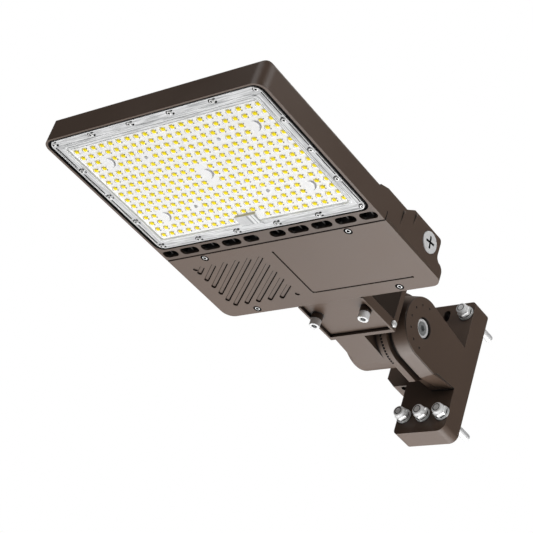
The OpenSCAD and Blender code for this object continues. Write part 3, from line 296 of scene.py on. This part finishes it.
BRONZE = (0.106, 0.067, 0.046)
WORN = (0.24, 0.18, 0.14)
MATERIALS = {
    "bronze_paint": finish("bronze_paint", BRONZE, 0.42, bump=0.28, vary=0.05, edge=0.45, edge_colour=WORN,
                           round_edge=0.0006, shade_reach=0.0035, duct=True, wide_shade=0.25),
    # Painted shade: the side panels' paint is the bronze made darker for the shade they lie in
    "side_paint": finish("side_paint", (0.03, 0.019, 0.013), 0.5, bump=0.25, vary=0.05, specular=0.2,
                         edge=0.3, shade_reach=0.0035),
    "board_white": finish("board_white", (0.99, 0.99, 0.99), 0.4, vary=0.01, bump=0.05, grain=500.0,
                          specular=0.2),
    "chip_yellow": finish("chip_yellow", (1.0, 0.82, 0.012), 0.4, vary=0.03, bump=0.08, grain=1500.0,
                          blotch=60.0, specular=0.05),
    "plug_white": finish("plug_white", (0.85, 0.85, 0.83), 0.4, vary=0.03, bump=0.08),
    "lens_clear": lens_finish(),
    "rubber": finish("rubber", (0.006, 0.006, 0.006), 0.85, vary=0.15, bump=0.3, specular=0.03),
    "steel": finish("steel", (0.92, 0.92, 0.91), 0.34, metal=0.35, vary=0.03, bump=0.03, grain=1600.0,
                    round_edge=0.0003, shade_reach=0.002, shade_darkest=0.06),
    "zinc": finish("zinc", (0.90, 0.90, 0.90), 0.34, metal=0.4, vary=0.03, bump=0.03, grain=1400.0,
                   shade_reach=0.002, shade_darkest=0.06),
    "driver_grey": finish("driver_grey", (0.42, 0.43, 0.43), 0.42, metal=0.6, vary=0.05, bump=0.12, edge=0.3),
    "black_case": finish("black_case", (0.006, 0.006, 0.006), 0.8, vary=0.12, specular=0.03),
    "terminal_cream": finish("terminal_cream", (0.8, 0.77, 0.68), 0.4, vary=0.03, bump=0.1),
    "lead_red": finish("lead_red", (0.45, 0.025, 0.018), 0.38, bump=0.06),
    "lead_cream": finish("lead_cream", (0.78, 0.73, 0.6), 0.38, vary=0.04, bump=0.06),
    "plug_grey": finish("plug_grey", (0.95, 0.95, 0.95), 0.42, vary=0.02, bump=0.1),
}
BLACK = MATERIALS["black_case"]
SCREW_PLAIN = finish("screw_plain", (0.62, 0.62, 0.61), 0.34, metal=0.3, vary=0.03, bump=0.03, grain=1600.0)
# Clear plastic of the lens, from painted dark shade to a painted highlight on the ridges
DARK_SHADE = clear_finish("lens_shade", (0.07, 0.07, 0.075), (0.14, 0.14, 0.145), 0.85, 0.3)
SOFT_SHADE = clear_finish("lens_shade_soft", (0.42, 0.42, 0.45), (0.54, 0.54, 0.57), 0.5, 0.3)
MARK_PALE = clear_finish("lens_ridge", (0.86, 0.87, 0.87), (0.95, 0.95, 0.95), 1.0, 0.12)
MARK_MID = clear_finish("lens_step", (0.34, 0.35, 0.35), (0.46, 0.47, 0.47), 0.9, 0.2)
BUMP_PALE = clear_finish("bump_pale", (0.62, 0.625, 0.63), (0.74, 0.74, 0.745), 1.0, 0.2)
# Painted shade for grooves, seams and slots: dark, and lighter
GROOVE_SHADE_DARK = finish("groove_shade_dark", (0.010, 0.006, 0.004), 0.8, vary=0.15, specular=0.05)
GROOVE_SHADE_LIGHT = finish("groove_shade_light", (0.050, 0.032, 0.022), 0.7, vary=0.1, specular=0.2)

# Painted light: the phosphor glows a little yellow, though it is no lamp, to even out its shading
PAINTED_GLOW, PAINTED_GLOW_STRENGTH = (1.0, 0.72, 0.005, 1), 0.16
phosphor = MATERIALS["chip_yellow"].node_tree.nodes["Principled BSDF"].inputs
phosphor["Emission Color"].default_value = PAINTED_GLOW
phosphor["Emission Strength"].default_value = PAINTED_GLOW_STRENGTH

SLOTS = {entry["node"]: entry["material_slot"] for entry in frame["record"]["subparts"]}
OWN_FINISH = {"board_screws": SCREW_PLAIN, "pivot_bolt": MATERIALS["driver_grey"]}
for name, obj in frame["nodes"].items():
    mat = OWN_FINISH.get(name, MATERIALS[SLOTS[name]])
    if not obj.material_slots:
        obj.data.materials.append(mat)
    for place in obj.material_slots:
        place.material = mat


# ---------------------------------------------------------------- tools for the pieces

SHARP = math.radians(35)


class Shape:
    """Points and faces of one piece, gathered in millimetres; a face's mark is the number of its material."""

    def __init__(self):
        self.points, self.faces, self.marks = [], [], []

    def stack(self, loops, place=None, mark=0, ends="capped"):
        """Skin through loops of equal count: capped at both ends, open, or joined from last to first.

        The mark is one number, or a list with one for each band; a cap has the mark of its band.
        """
        base, n, m = len(self.points), len(loops[0]), len(loops)
        points = [Vector(p) for loop in loops for p in loop]
        self.points += [place @ p for p in points] if place is not None else points
        bands = m if ends == "joined" else m - 1
        marks = mark if isinstance(mark, list) else [mark] * bands
        for k in range(bands):
            low, high = base + k * n, base + (k + 1) % m * n
            self.faces += [[low + i, low + (i + 1) % n, high + (i + 1) % n, high + i] for i in range(n)]
            self.marks += [marks[k]] * n
        if ends == "capped":
            last = base + (m - 1) * n
            self.faces += [list(range(base, base + n))[::-1], list(range(last, last + n))]
            self.marks += [marks[0], marks[-1]]

    def turned(self, profile, steps, place=None, mark=0, ends="capped"):
        """A solid of revolution about z, from its radii and heights."""
        self.stack([hoop(r, z, steps) for r, z in profile], place, mark, ends)

    def prism(self, outline, z0, z1, place=None, mark=0):
        self.stack([[(x, y, z) for x, y in outline] for z in (z0, z1)], place, mark)

    def block(self, x0, y0, x1, y1, z0, z1, place=None, mark=0):
        self.prism([(x0, y0), (x1, y0), (x1, y1), (x0, y1)], z0, z1, place, mark)

    def stroke(self, x0, y0, x1, y1, width, z0, z1):
        """A straight line on the underside, from one point to another."""
        side = Vector((y0 - y1, x1 - x0)).normalized() * (width / 2)
        self.prism([(x0 - side.x, y0 - side.y), (x1 - side.x, y1 - side.y), (x1 + side.x, y1 + side.y),
                    (x0 + side.x, y0 + side.y)], z0, z1)

    def piece(self, name, body, materials, smooth=True, at=HEAD, shadow=True):
        """The finished object, riding on its body; at is the origin that the points were measured from."""
        mesh = bpy.data.meshes.new(name)
        mesh.from_pydata([tuple((p + at) * MM) for p in self.points], [], self.faces)
        for mat in materials:
            mesh.materials.append(mat)
        for poly, mark in zip(mesh.polygons, self.marks):
            poly.material_index = mark
            poly.use_smooth = smooth
        mesh.update()
        bm = bmesh.new()
        bm.from_mesh(mesh)
        bmesh.ops.recalc_face_normals(bm, faces=bm.faces)
        bm.to_mesh(mesh)
        bm.free()
        mesh.set_sharp_from_angle(angle=SHARP)
        obj = bpy.data.objects.new(name, mesh)
        obj.visible_shadow = shadow
        bpy.context.scene.collection.objects.link(obj)
        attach(obj, body)
        return obj


def hoop(radius, z, steps):
    """Points round a circle about z."""
    return [(*polar(360 * i / steps, radius), z) for i in range(steps)]


def disc(radius, sides, x=0.0, y=0.0):
    """Outline of a small round or six-sided face about x, y."""
    return [(x + a, y + b) for a, b, _ in hoop(radius, 0, sides)]


def rounded(half_x, half_y, radius, steps=8):
    """Outline of a rounded rectangle about the middle of the lens."""
    path = []
    for cx, cy, start in ((1, 1, 0), (-1, 1, 90), (-1, -1, 180), (1, -1, 270)):
        for i in range(steps + 1):
            x, y = polar(start + 90 * i / steps, radius)
            path.append((cx * (half_x - radius) + x, LENS_MID + cy * (half_y - radius) + y))
    return path


def node_box(name):
    """Lowest and highest corner of a node and the middle between them, in millimetres."""
    low, high = [Vector(v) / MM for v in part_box(name)]
    return low, high, (low + high) / 2


# A lens dome looks round from the front quarter, so its marks lie on an oval in the board's plane: angle and
# length of the oval's half axes
OVAL = [Vector(polar(angle, length)) for angle, length in ((-31.5, 4.4), (58.5, 3.05))]
STROKE_UNIT, STROKE_TIP = 6.5, 0.15


def arc(start, end, size, width, steps=8):
    """Outline of a tapered stroke along the oval, from start to end in degrees."""
    outer, inner = [], []
    for i in range(steps + 1):
        t = i / steps
        x, y = polar(start + (end - start) * t)
        w = width * max(STROKE_TIP, 1 - abs(2 * t - 1) ** 3) / STROKE_UNIT
        for row, k in ((outer, size + w), (inner, size - w)):
            row.append(tuple(OVAL[0] * (x * k) + OVAL[1] * (y * k)))
    return outer + inner[::-1]


# ---------------------------------------------------------------- lens and LEDs

# Yellow phosphor, seen round and enlarged through each lens dome: radius and height, and the share of each
# at every ring. The view through the dome moves it a little.
PHOSPHOR_Z, PHOSPHOR_R, PHOSPHOR_UP, PHOSPHOR_SIDES, SQUARENESS = 3.9, 2.3, 1.3, 12, 3
PHOSPHOR_RINGS = [(1.0, 0.0), (1.0, 0.55), (0.9, 0.8), (0.74, 0.95), (0.5, 1.0)]
SEEN_SHIFT = Vector((0.6, 0.4, 0))


def squared(radius):
    """Outline between a circle and a square."""
    outline = []
    for i in range(PHOSPHOR_SIDES):
        x, y = polar(360 * (i + 0.5) / PHOSPHOR_SIDES)
        k = radius * (abs(x) ** SQUARENESS + abs(y) ** SQUARENESS) ** (-1 / SQUARENESS)
        outline.append((x * k, y * k))
    return outline


glow = Shape()
for spot in LEDS:
    glow.stack([[(x, y, PHOSPHOR_Z - PHOSPHOR_UP * up) for x, y in squared(PHOSPHOR_R * wide)]
                for wide, up in PHOSPHOR_RINGS], Matrix.Translation(led(*spot) + SEEN_SHIFT))
glow.piece("led_phosphor", "head", [MATERIALS["chip_yellow"]])

# Painted shade round each dome and blank post. A row is the start, end, size, width and steps of its stroke,
# its thickness and its mark: a soft ring of painted shade on three sides of a dome and two short dark marks
# of painted shade
MARK_Z = 2.9
DOME_MARKS = [(176, 330, 1.0, 1.0, 12, 0.1, 0), (-6, 20, 1.0, 1.7, 6, 0.12, 1),
              (64, 92, 1.12, 1.6, 6, 0.12, 1)]
# On a post, a wide thin ring of painted shade on one side with soft painted shade inside it
POST_MARKS = [(-50, 110, 2.25, 1.3, 20, 0.12, 1), (-30, 80, 1.95, 1.8, 20, 0.1, 0)]


def lens_marks(name, places, rows):
    shape = Shape()
    for place in places:
        for start, end, size, width, steps, thick, mark in rows:
            shape.prism(arc(start, end, size, width, steps), MARK_Z, MARK_Z + thick,
                        Matrix.Translation(place), mark)
    shape.piece(name, "head", [SOFT_SHADE, DARK_SHADE], shadow=False)


lens_marks("lens_dome_shades", [led(*spot) + SEEN_SHIFT for spot in LEDS], DOME_MARKS)
lens_marks("lens_posts", [led(*spot) for spot in POSTS], POST_MARKS)

# Raised edge and stepped ridges of the lens flange, and the ledge over its gasket, where the pale mark is a
# painted highlight: distance from the lens's edge, corner radius, two sides, bottom, top and mark
RIDGES = [(0.9, 8.1, -0.1, 0.85, 0.15, FLANGE_Z, 0), (12.6, 5.0, -0.6, 0.6, 0.3, FLANGE_Z, 0),
          (14.4, 4.0, -0.35, 0.35, 0.9, FLANGE_Z, 1), (10.4, 6.0, -3.4, 3.4, 3.02, 3.14, 0)]
RIDGE_STEPS = 10
# Two lines across the front of the field: distance from the lens's edge, half length and width
FRONT_LINES, FRONT_LINE_HALF, FRONT_LINE_W, FRONT_LINE_Z = (16.2, 19.0), 133, 0.7, (2.4, 2.7)
ridges = Shape()
for inset, radius, out0, out1, z0, z1, mark in RIDGES:
    ridges.stack([[(x, y, z) for x, y in rounded(LENS_HALF_W - inset + out, LENS_HALF_L - inset + out,
                                                 radius + out, RIDGE_STEPS)]
                  for out, z in ((out0, z0), (out1, z0), (out1, z1), (out0, z1))], mark=mark, ends="joined")
for inset in FRONT_LINES:
    y = LENS_MID - LENS_HALF_L + inset
    ridges.block(-FRONT_LINE_HALF, y, FRONT_LINE_HALF, y + FRONT_LINE_W, *FRONT_LINE_Z, mark=1)
ridges.piece("lens_ridges", "head", [MARK_PALE, MARK_MID], shadow=False)

# Black seal in the groove between the lens and the rim, and its lip on the rim, whose black is also painted
# shade for the dark gap: how far each corner of its section stands out from the lens at the sides and at the
# ends, corner radius, and height
SEAL = [(0.1, 0.1, 9.1, 1.4), (3.3, 1.3, 10.3, 1.4), (3.3, 1.3, 10.3, 3.15), (0.1, 0.1, 9.1, 3.15)]
SEAL_LIP = [(3.2, 1.2, 10.3, 0.05), (3.2, 1.2, 10.3, -0.12), (4.6, 2.1, 11.5, -0.12), (4.6, 2.1, 11.5, 0.05)]
seal = Shape()
for section in (SEAL, SEAL_LIP):
    seal.stack([[(x, y, z) for x, y in rounded(LENS_HALF_W + out_x, LENS_HALF_L + out_y, radius)]
                for out_x, out_y, radius, z in section], ends="joined")
seal.piece("lens_edge_seal", "head", [MATERIALS["rubber"]])

# Lens screws: painted shade in their sockets, painted shadow in arcs beside each, and a dark line between
# them along the sides
LENS_SCREW_INSET, LENS_SCREW_COLS, LENS_SCREW_ROWS = 4.5, 6, 5
SCREW_SHADOW_Z = (0.98, 1.25)
SCREW_SHADOW_ARCS = [(-22, 30, 1.06, 2.6, 8), (58, 94, 1.45, 2.4, 8), (180, 320, 1.0, 1.4, 10)]
LENS_SOCKET_R, LENS_SOCKET_SIDES, LENS_SOCKET_Z = 1.5, 8, (-0.36, -0.3)
SIDE_LINE_INSET, SIDE_LINE_HALF, SIDE_LINE_GAP, SIDE_LINE_Z = 2.6, 0.8, 6, (1.05, 1.25)
screw_x, screw_y = LENS_HALF_W - LENS_SCREW_INSET, LENS_HALF_L - LENS_SCREW_INSET
row_y = [LENS_MID + (2 * k / (LENS_SCREW_ROWS - 1) - 1) * screw_y for k in range(LENS_SCREW_ROWS)]
spots = [((2 * k / (LENS_SCREW_COLS - 1) - 1) * screw_x, y)
         for k in range(LENS_SCREW_COLS) for y in (row_y[0], row_y[-1])]
spots += [(s * screw_x, y) for y in row_y[1:-1] for s in (-1, 1)]
screw_shades = Shape()
for x, y in spots:
    place = Matrix.Translation((x, y, 0))
    for stroke in SCREW_SHADOW_ARCS:
        screw_shades.prism(arc(*stroke), *SCREW_SHADOW_Z, place)
    screw_shades.prism(disc(LENS_SOCKET_R, LENS_SOCKET_SIDES), *LENS_SOCKET_Z, place)
for s in (-1, 1):
    x = s * (LENS_HALF_W - SIDE_LINE_INSET)
    for y0, y1 in zip(row_y, row_y[1:]):
        screw_shades.block(x - SIDE_LINE_HALF, y0 + SIDE_LINE_GAP, x + SIDE_LINE_HALF, y1 - SIDE_LINE_GAP,
                    *SIDE_LINE_Z)
screw_shades.piece("lens_screw_shades", "head", [BLACK], smooth=False)

# Cover over the wire connector: a pale face with mid-grey strips of painted shade and two paler strips, and a
# pale front wall
CONNECTOR_Y, CONNECTOR_Z = (-167.4, -150.3), (-0.74, -0.6)
CONNECTOR_STRIPS = [(-14.6, 1.2, 0), (1.2, 3.9, 1), (3.9, 7.8, 2), (7.8, 9.0, 1), (9.0, 12.2, 2),
                    (12.2, 14.6, 1)]
CONNECTOR_HALF_W, CONNECTOR_WALL_Y = 14.6, (-168.2, -167.5)
connector = Shape()
for x0, x1, mark in CONNECTOR_STRIPS:
    connector.block(x0, CONNECTOR_Y[0], x1, CONNECTOR_Y[1], *CONNECTOR_Z, mark=mark)
connector.block(-CONNECTOR_HALF_W, CONNECTOR_WALL_Y[0], CONNECTOR_HALF_W, CONNECTOR_WALL_Y[1],
                CONNECTOR_Z[0], FIELD_Z)
connector.piece("lens_connector_cover", "head", [BUMP_PALE, MARK_MID, MARK_PALE], smooth=False,
                shadow=False)


# ---------------------------------------------------------------- driver cover and side plug

# Painted shade in the sockets of the cover screws, and a ring of painted shadow round each head
COVER_SCREW_X, COVER_SCREW_Y = 103.7, (-112.5, -8)
COVER_SOCKET_R, COVER_SOCKET_Z = 1.9, (-0.25, 0.4)
COVER_SHADOW_RING = [(3.9, -0.05), (5.2, -0.05), (5.2, 0.2), (3.9, 0.2)]
shades = Shape()
for x in (-COVER_SCREW_X, COVER_SCREW_X):
    for y in COVER_SCREW_Y:
        place = Matrix.Translation((x, y, 0))
        shades.prism(disc(COVER_SOCKET_R, 12), *COVER_SOCKET_Z, place)
        shades.turned(COVER_SHADOW_RING, 36, place, ends="open")
shades.piece("cover_screw_shades", "cover", [BLACK], smooth=False)

# Painted shade: a dark cross in the slot in the face of the side plug
CROSS_LEAN, CROSS_HALF_L, CROSS_HALF_W, CROSS_SINK, CROSS_Z = 9, 7.4, 1.35, 0.5, (-0.3, 0.52)
_, high, middle = node_box("side_plug")
cross = Shape()
for lean in (CROSS_LEAN, CROSS_LEAN + 90):
    place = Matrix.Translation((high.x - CROSS_SINK, middle.y, middle.z))
    place = place @ rotated("X", lean) @ rotated("Y", 90)
    cross.block(-CROSS_HALF_L, -CROSS_HALF_W, CROSS_HALF_L, CROSS_HALF_W, *CROSS_Z, place)
cross.piece("plug_slot_shade", "plug", [BLACK], smooth=False, at=ORIGIN)

# Painted shade in the cover's engraved L line, over the slant at its corner, with a dot at both ends. A row
# holds the two ends of a stroke and its width
GROOVE_SHADE_Z = (-0.04, 0.1)
LINE_STROKES = [(-9.3, -101.3, -9.3, -23.2, 2.2), (-9.3, -23.2, -6.3, -21.2, 2.2),
                (-6.3, -21.2, 129.6, -21.2, 2.1)]
LINE_DOTS, LINE_DOT_R = [(-9.3, -101.3), (129.6, -21.25)], 1.6
lines = Shape()
for stroke in LINE_STROKES:
    lines.stroke(*stroke, *GROOVE_SHADE_Z)
for x, y in LINE_DOTS:
    lines.prism(disc(LINE_DOT_R, 12, x, y), *GROOVE_SHADE_Z)

# Painted shade along both sides and the low end of the diamond's slots. The slots lean inside an upright
# rectangle
SLOT_ANGLE, SLOT_R, SLOT_W, SLOT_L, SLOT_STEP, SLOT_COUNT = math.radians(37.5), 3.0, 106, 81, 18.1, 10
SLOT_SIDE, SLOT_FRONT, SLOT_Z = 22.5, 19.4, (0.9, 1.36)
SLOT_DARK, SLOT_DARK_START, SLOT_PALE, SLOT_TAPER = 1.35, 1.0, 0.75, 2
END_DARK, END_DARKER, END_STEP = 1.3, 0.5, 15
turns = [polar(a - 90) for a in range(0, 181, END_STEP)]
halves = [polar(a / 2)[0] for a in range(0, 181, END_STEP)]
edge_x = SLOT_W / 2 - SLOT_R
for k in range(1, SLOT_COUNT + 1):
    x = k * SLOT_STEP - SLOT_W / 2
    place = Matrix.Translation((k * SLOT_STEP + SLOT_SIDE - HEAD_HALF_W, SLOT_FRONT - COVER_L, 0)) @ \
        Matrix.Rotation(math.pi - SLOT_ANGLE, 4, "Z")
    start = max(SLOT_R / math.sin(SLOT_ANGLE), (x - edge_x) / math.cos(SLOT_ANGLE))
    end = min((SLOT_L - SLOT_R) / math.sin(SLOT_ANGLE), (x + edge_x) / math.cos(SLOT_ANGLE))
    lines.prism([(start, -SLOT_R), (end, -SLOT_R), (end, SLOT_DARK - SLOT_R),
                 (start + SLOT_TAPER, SLOT_DARK_START - SLOT_R)], *SLOT_Z, place)
    lines.block(start, SLOT_R - SLOT_PALE, end, SLOT_R, *SLOT_Z, place, 1)
    cap =[(end + SLOT_R * c, SLOT_R * s) for c, s in turns]
    inner = [(end + (SLOT_R - END_DARK - END_DARKER * c) * c, (SLOT_R - END_DARK + END_DARKER * half) * s)
             for (c, s), half in zip(turns, halves)]
    lines.prism(cap + inner[::-1], *SLOT_Z, place)
lines.piece("cover_line_shade", "cover", [GROOVE_SHADE_DARK, GROOVE_SHADE_LIGHT], smooth=False)

# Painted shade in the seam between the strip and the cover
SEAM_HALF, SEAM_W, SEAM_SHIFT = 156.6, 2.2, 0.25
seam = Shape()
seam.stroke(-SEAM_HALF, SEAM_SHIFT - COVER_L, SEAM_HALF, SEAM_SHIFT - COVER_L, SEAM_W, *GROOVE_SHADE_Z)
seam.piece("cover_seam_shade", "head", [GROOVE_SHADE_DARK], smooth=False)


# ---------------------------------------------------------------- bolts, nuts and washer

ROUND = 40
FINE_ROUND = 48


def thread(crest, root, z0, z1, pitch):
    """Profile of a threaded rod with chamfered ends."""
    rows = [(root * 0.85, z0), (root, z0 + 0.4)]
    z = z0 + 0.6
    while z + pitch < z1 - 0.6:
        rows += [(root, z), (crest, z + pitch * 0.4), (crest, z + pitch * 0.55), (root, z + pitch * 0.95)]
        z += pitch
    return rows + [(root, z1 - 0.4), (root * 0.85, z1)]


# Threaded wall bolts: plain inside the plate, threaded behind it
STUD_THREAD = thread(4.9, 4.62, 0.9, 28, 1.75)
STUD_PLAIN = [(4.45, -PLATE_T - 11), (4.65, -PLATE_T - 10.5), (4.65, 1.2)]
studs = Shape()
for x, z in WALL_BOLTS:
    place = Matrix.Translation((x, 0, z)) @ rotated("X", -90)
    studs.turned(STUD_THREAD, ROUND, place)
    studs.turned(STUD_PLAIN, ROUND, place)
stud_piece = studs.piece("wall_bolts_threaded", "bracket", [MATERIALS["zinc"]], at=ORIGIN)
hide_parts("wall_studs")

# Nuts of the wall bolts: flange, chamfered hexagon, round cap with a turned groove, and painted shade in two
# crevices. Each row holds a profile, its number of sides, its turn in degrees and its mark
NUT_SEAT = 2
NUT_PARTS = [
    ([(9.7, 0), (9.7, 0.7), (9.2, 1.1), (8.6, 1.2)], FINE_ROUND, 0, 0),
    ([(8.6, 1.0), (9.35, 1.7), (9.35, 5.6), (8.3, 7.0)], 6, 30, 0),
    ([(7.6, 6.6), (7.3, 7.4), (7.2, 11.2), (6.9, 12.0), (6.3, 12.5), (4.9, 12.8), (4.6, 12.35), (4.1, 12.35),
      (3.9, 12.9)], FINE_ROUND, 0, 1),
    ([(4.1, 12.3), (4.9, 12.3), (4.9, 12.84), (4.1, 12.8)], FINE_ROUND, 0, 2),
    ([(8.0, 1.05), (9.0, 1.05), (9.0, 1.75), (8.0, 1.75)], FINE_ROUND, 0, 2)]
nuts = Shape()
for x, z in WALL_BOLTS:
    place = Matrix.Translation((x, -PLATE_T - NUT_SEAT, z)) @ rotated("X", 90)
    for profile, sides, turn, mark in NUT_PARTS:
        nuts.turned(profile, sides, place @ rotated("Z", turn), mark)
nut_piece = nuts.piece("wall_nuts_capped", "bracket", [MATERIALS["steel"], MATERIALS["plug_grey"], BLACK],
                       at=ORIGIN)
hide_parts("wall_nuts")

# Socket head bolts below the arm box: knurled head, socket with painted shade, threaded shank
CLAMP_X, CLAMP_Y, CLAMP_LOW = 35.5, 24, -13.5
KNURLS, KNURL_R, KNURL_ROOT = 72, 6.55, 6.42
CLAMP_HEAD_H, CLAMP_CHAMFER, CLAMP_FACE = 9.1, 0.6, 0.93
# Radius and depth of the socket's rim, chamfer and floor, and the marks of the bands from the head's upper
# end over its side and low face into the socket
SOCKET_RINGS = [(3.9, 0), (3.3, 0.5), (3.1, 4.2)]
CLAMP_MARKS = [0, 0, 0, 0, 2]
CLAMP_THREAD = thread(4.8, 4.25, 3.4, 34.5, 1.25)


def knurled(share, z):
    """Points round the head, at a share of its full size."""
    return [(*polar(360 * i / KNURLS, share * (KNURL_R if i % 2 else KNURL_ROOT)), z) for i in range(KNURLS)]


bolts = Shape()
for s in (-1, 1):
    place = Matrix.Translation((s * CLAMP_X, CLAMP_Y, CLAMP_LOW))
    outside = [knurled(1, CLAMP_HEAD_H), knurled(1, CLAMP_CHAMFER), knurled(CLAMP_FACE, 0)]
    bolts.stack(outside + [hoop(r, z, KNURLS) for r, z in SOCKET_RINGS], place, CLAMP_MARKS)
    bolts.turned(CLAMP_THREAD, ROUND, place, 1)
bolt_piece = bolts.piece("clamp_bolts_threaded", "head", [MATERIALS["plug_grey"], MATERIALS["zinc"],
                                                          MATERIALS["driver_grey"]])
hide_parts("clamp_bolts")

# Cupped washer round the head of the pivot bolt
WASHER_CUP = [(6.3, 0), (12.0, 0), (12.0, 8.6), (11.6, 9.4), (10.8, 9.8), (9.4, 9.6), (8.7, 8.9), (8.5, 7.5),
              (8.5, 2.5), (6.3, 2.5)]
low, _, middle = node_box("pivot_washer")
washer = Shape()
place = Matrix.Translation((low.x, middle.y, middle.z)) @ rotated("Y", 90)
washer.turned(WASHER_CUP, 64, place, ends="joined")
washer_piece = washer.piece("pivot_washer_cupped", "bracket", [MATERIALS["plug_grey"]], at=ORIGIN)
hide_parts("pivot_washer")

# Painted shade in the gaps between the knuckle's teeth, seen along the edge of the bracket's ring
KNUCKLE_Y, RING_R, RING_X, TEETH = -116, 46, 11.35, 72
TOOTH_GAP = [(-0.03, -1.7), (-0.03, 1.5), (2.9, 1.2), (2.2, -1.1)]
TOOTH_LOW, TOOTH_HIGH = RING_R - 0.6, RING_R + 0.12
teeth = Shape()
for i in range(TEETH):
    place = Matrix.Translation((RING_X, KNUCKLE_Y, 0)) @ rotated("X", 360 * i / TEETH)
    teeth.prism(TOOTH_GAP, TOOTH_LOW, TOOTH_HIGH, place)
teeth.piece("knuckle_tooth_shades", "bracket", [BLACK], smooth=False, at=ORIGIN)


# ---------------------------------------------------------------- camera, light and backdrop

CAMERA_AT = (1.04226, -1.30799, -0.92342)
CAMERA_TURN = ((0.76469679, 0.13532506, 0.63002122), (0.57870082, -0.57429679, -0.57904473),
               (0.28346224, 0.80738766, -0.51747536))
CAMERA_LENS, CAMERA_SENSOR = 101.354, 36
camera = bpy.data.objects.new("camera", bpy.data.cameras.new("camera"))
bpy.context.scene.collection.objects.link(camera)
camera.matrix_world = Matrix.Translation(CAMERA_AT) @ Matrix(CAMERA_TURN).to_4x4()
camera.data.lens = CAMERA_LENS
camera.data.sensor_width = CAMERA_SENSOR
camera.data.clip_start, camera.data.clip_end = 0.01, 100
bpy.context.scene.camera = camera
bpy.context.scene.view_settings.view_transform = "Standard"

# Name, place, size in metres and power in watts of each soft lamp; all face the same spot
LAMP_AIM = Vector((0, -0.25, 0))
LAMPS = [("light_below", (-0.1, 0.45, -1.55), 1.7, 36.0), ("light_right", (1.7, -0.5, 0.75), 1.0, 13.0),
         ("light_front", (-0.1, -1.9, 0.9), 1.0, 7.5), ("light_above", (0.2, 0.1, 1.7), 1.2, 8.0)]
for name, place, size, power in LAMPS:
    light = bpy.data.lights.new(name, "AREA")
    light.shape, light.size, light.energy = "SQUARE", size, power
    obj = bpy.data.objects.new(name, light)
    obj.location = place
    obj.rotation_euler = (LAMP_AIM - Vector(place)).to_track_quat("-Z", "Y").to_euler()
    obj.visible_camera = False
    bpy.context.scene.collection.objects.link(obj)

# Plain pale floor far below; the object's light doesn't depend on it
FLOOR_Z, FLOOR_HALF, FLOOR_PALE = -2.5, 9, 0.68
ground = bpy.data.meshes.new("floor")
corners = ((-1, -1), (1, -1), (1, 1), (-1, 1))
ground.from_pydata([(x * FLOOR_HALF, y * FLOOR_HALF, FLOOR_Z) for x, y in corners], [], [[0, 1, 2, 3]])
pale = finish("floor_pale", (0.88, 0.88, 0.87), 0.7, vary=0.01, bump=0.05, grain=60.0, blotch=1.0)
tree = pale.node_tree
skin = tree.nodes["Principled BSDF"]
skin.inputs["Emission Color"].default_value = (1, 1, 1, 1)
tree.links.new(math_node(tree, "MULTIPLY", node(tree, "LightPath").outputs["Is Camera Ray"], FLOOR_PALE),
               skin.inputs["Emission Strength"])
ground.materials.append(pale)
floor = bpy.data.objects.new("floor", ground)
bpy.context.scene.collection.objects.link(floor)
floor.visible_glossy = floor.visible_diffuse = False

# Seen by the camera the studio is white; in reflections it is white below and behind, and dim above and in
# front. Each row holds two levels and the heights or depths of the direction that they belong to
WHITE = (1, 1, 1, 1)
SKY_BELOW, SKY_BEHIND, SKY_AMBIENT = (1.0, 0.16, -0.22, 0.12), (0.3, 1.0, -0.4, 0.2), 0.12
world = bpy.data.worlds.new("world")
bpy.context.scene.world = world
world.use_nodes = True
tree = world.node_tree
tree.nodes.clear()
path = node(tree, "LightPath").outputs
_, way_y, way_z = split(tree, node(tree, "TexCoord").outputs["Generated"])
mirrored = math_node(tree, "MULTIPLY", spread(tree, way_z, *SKY_BELOW), spread(tree, way_y, *SKY_BEHIND))
level = math_node(tree, "MAXIMUM", path["Is Camera Ray"], mirrored)
seen = math_node(tree, "MAXIMUM", path["Is Camera Ray"],
                 math_node(tree, "MAXIMUM", path["Is Glossy Ray"], path["Is Transmission Ray"]))
backdrop = node(tree, "Background", Color=WHITE)
tree.links.new(level, backdrop.inputs["Strength"])
ambient = node(tree, "Background", Color=WHITE, Strength=SKY_AMBIENT)
choice = node(tree, "MixShader")
tree.links.new(seen, choice.inputs["Fac"])
tree.links.new(ambient.outputs[0], choice.inputs[1])
tree.links.new(backdrop.outputs[0], choice.inputs[2])
tree.links.new(choice.outputs[0], node(tree, "OutputWorld").inputs["Surface"])
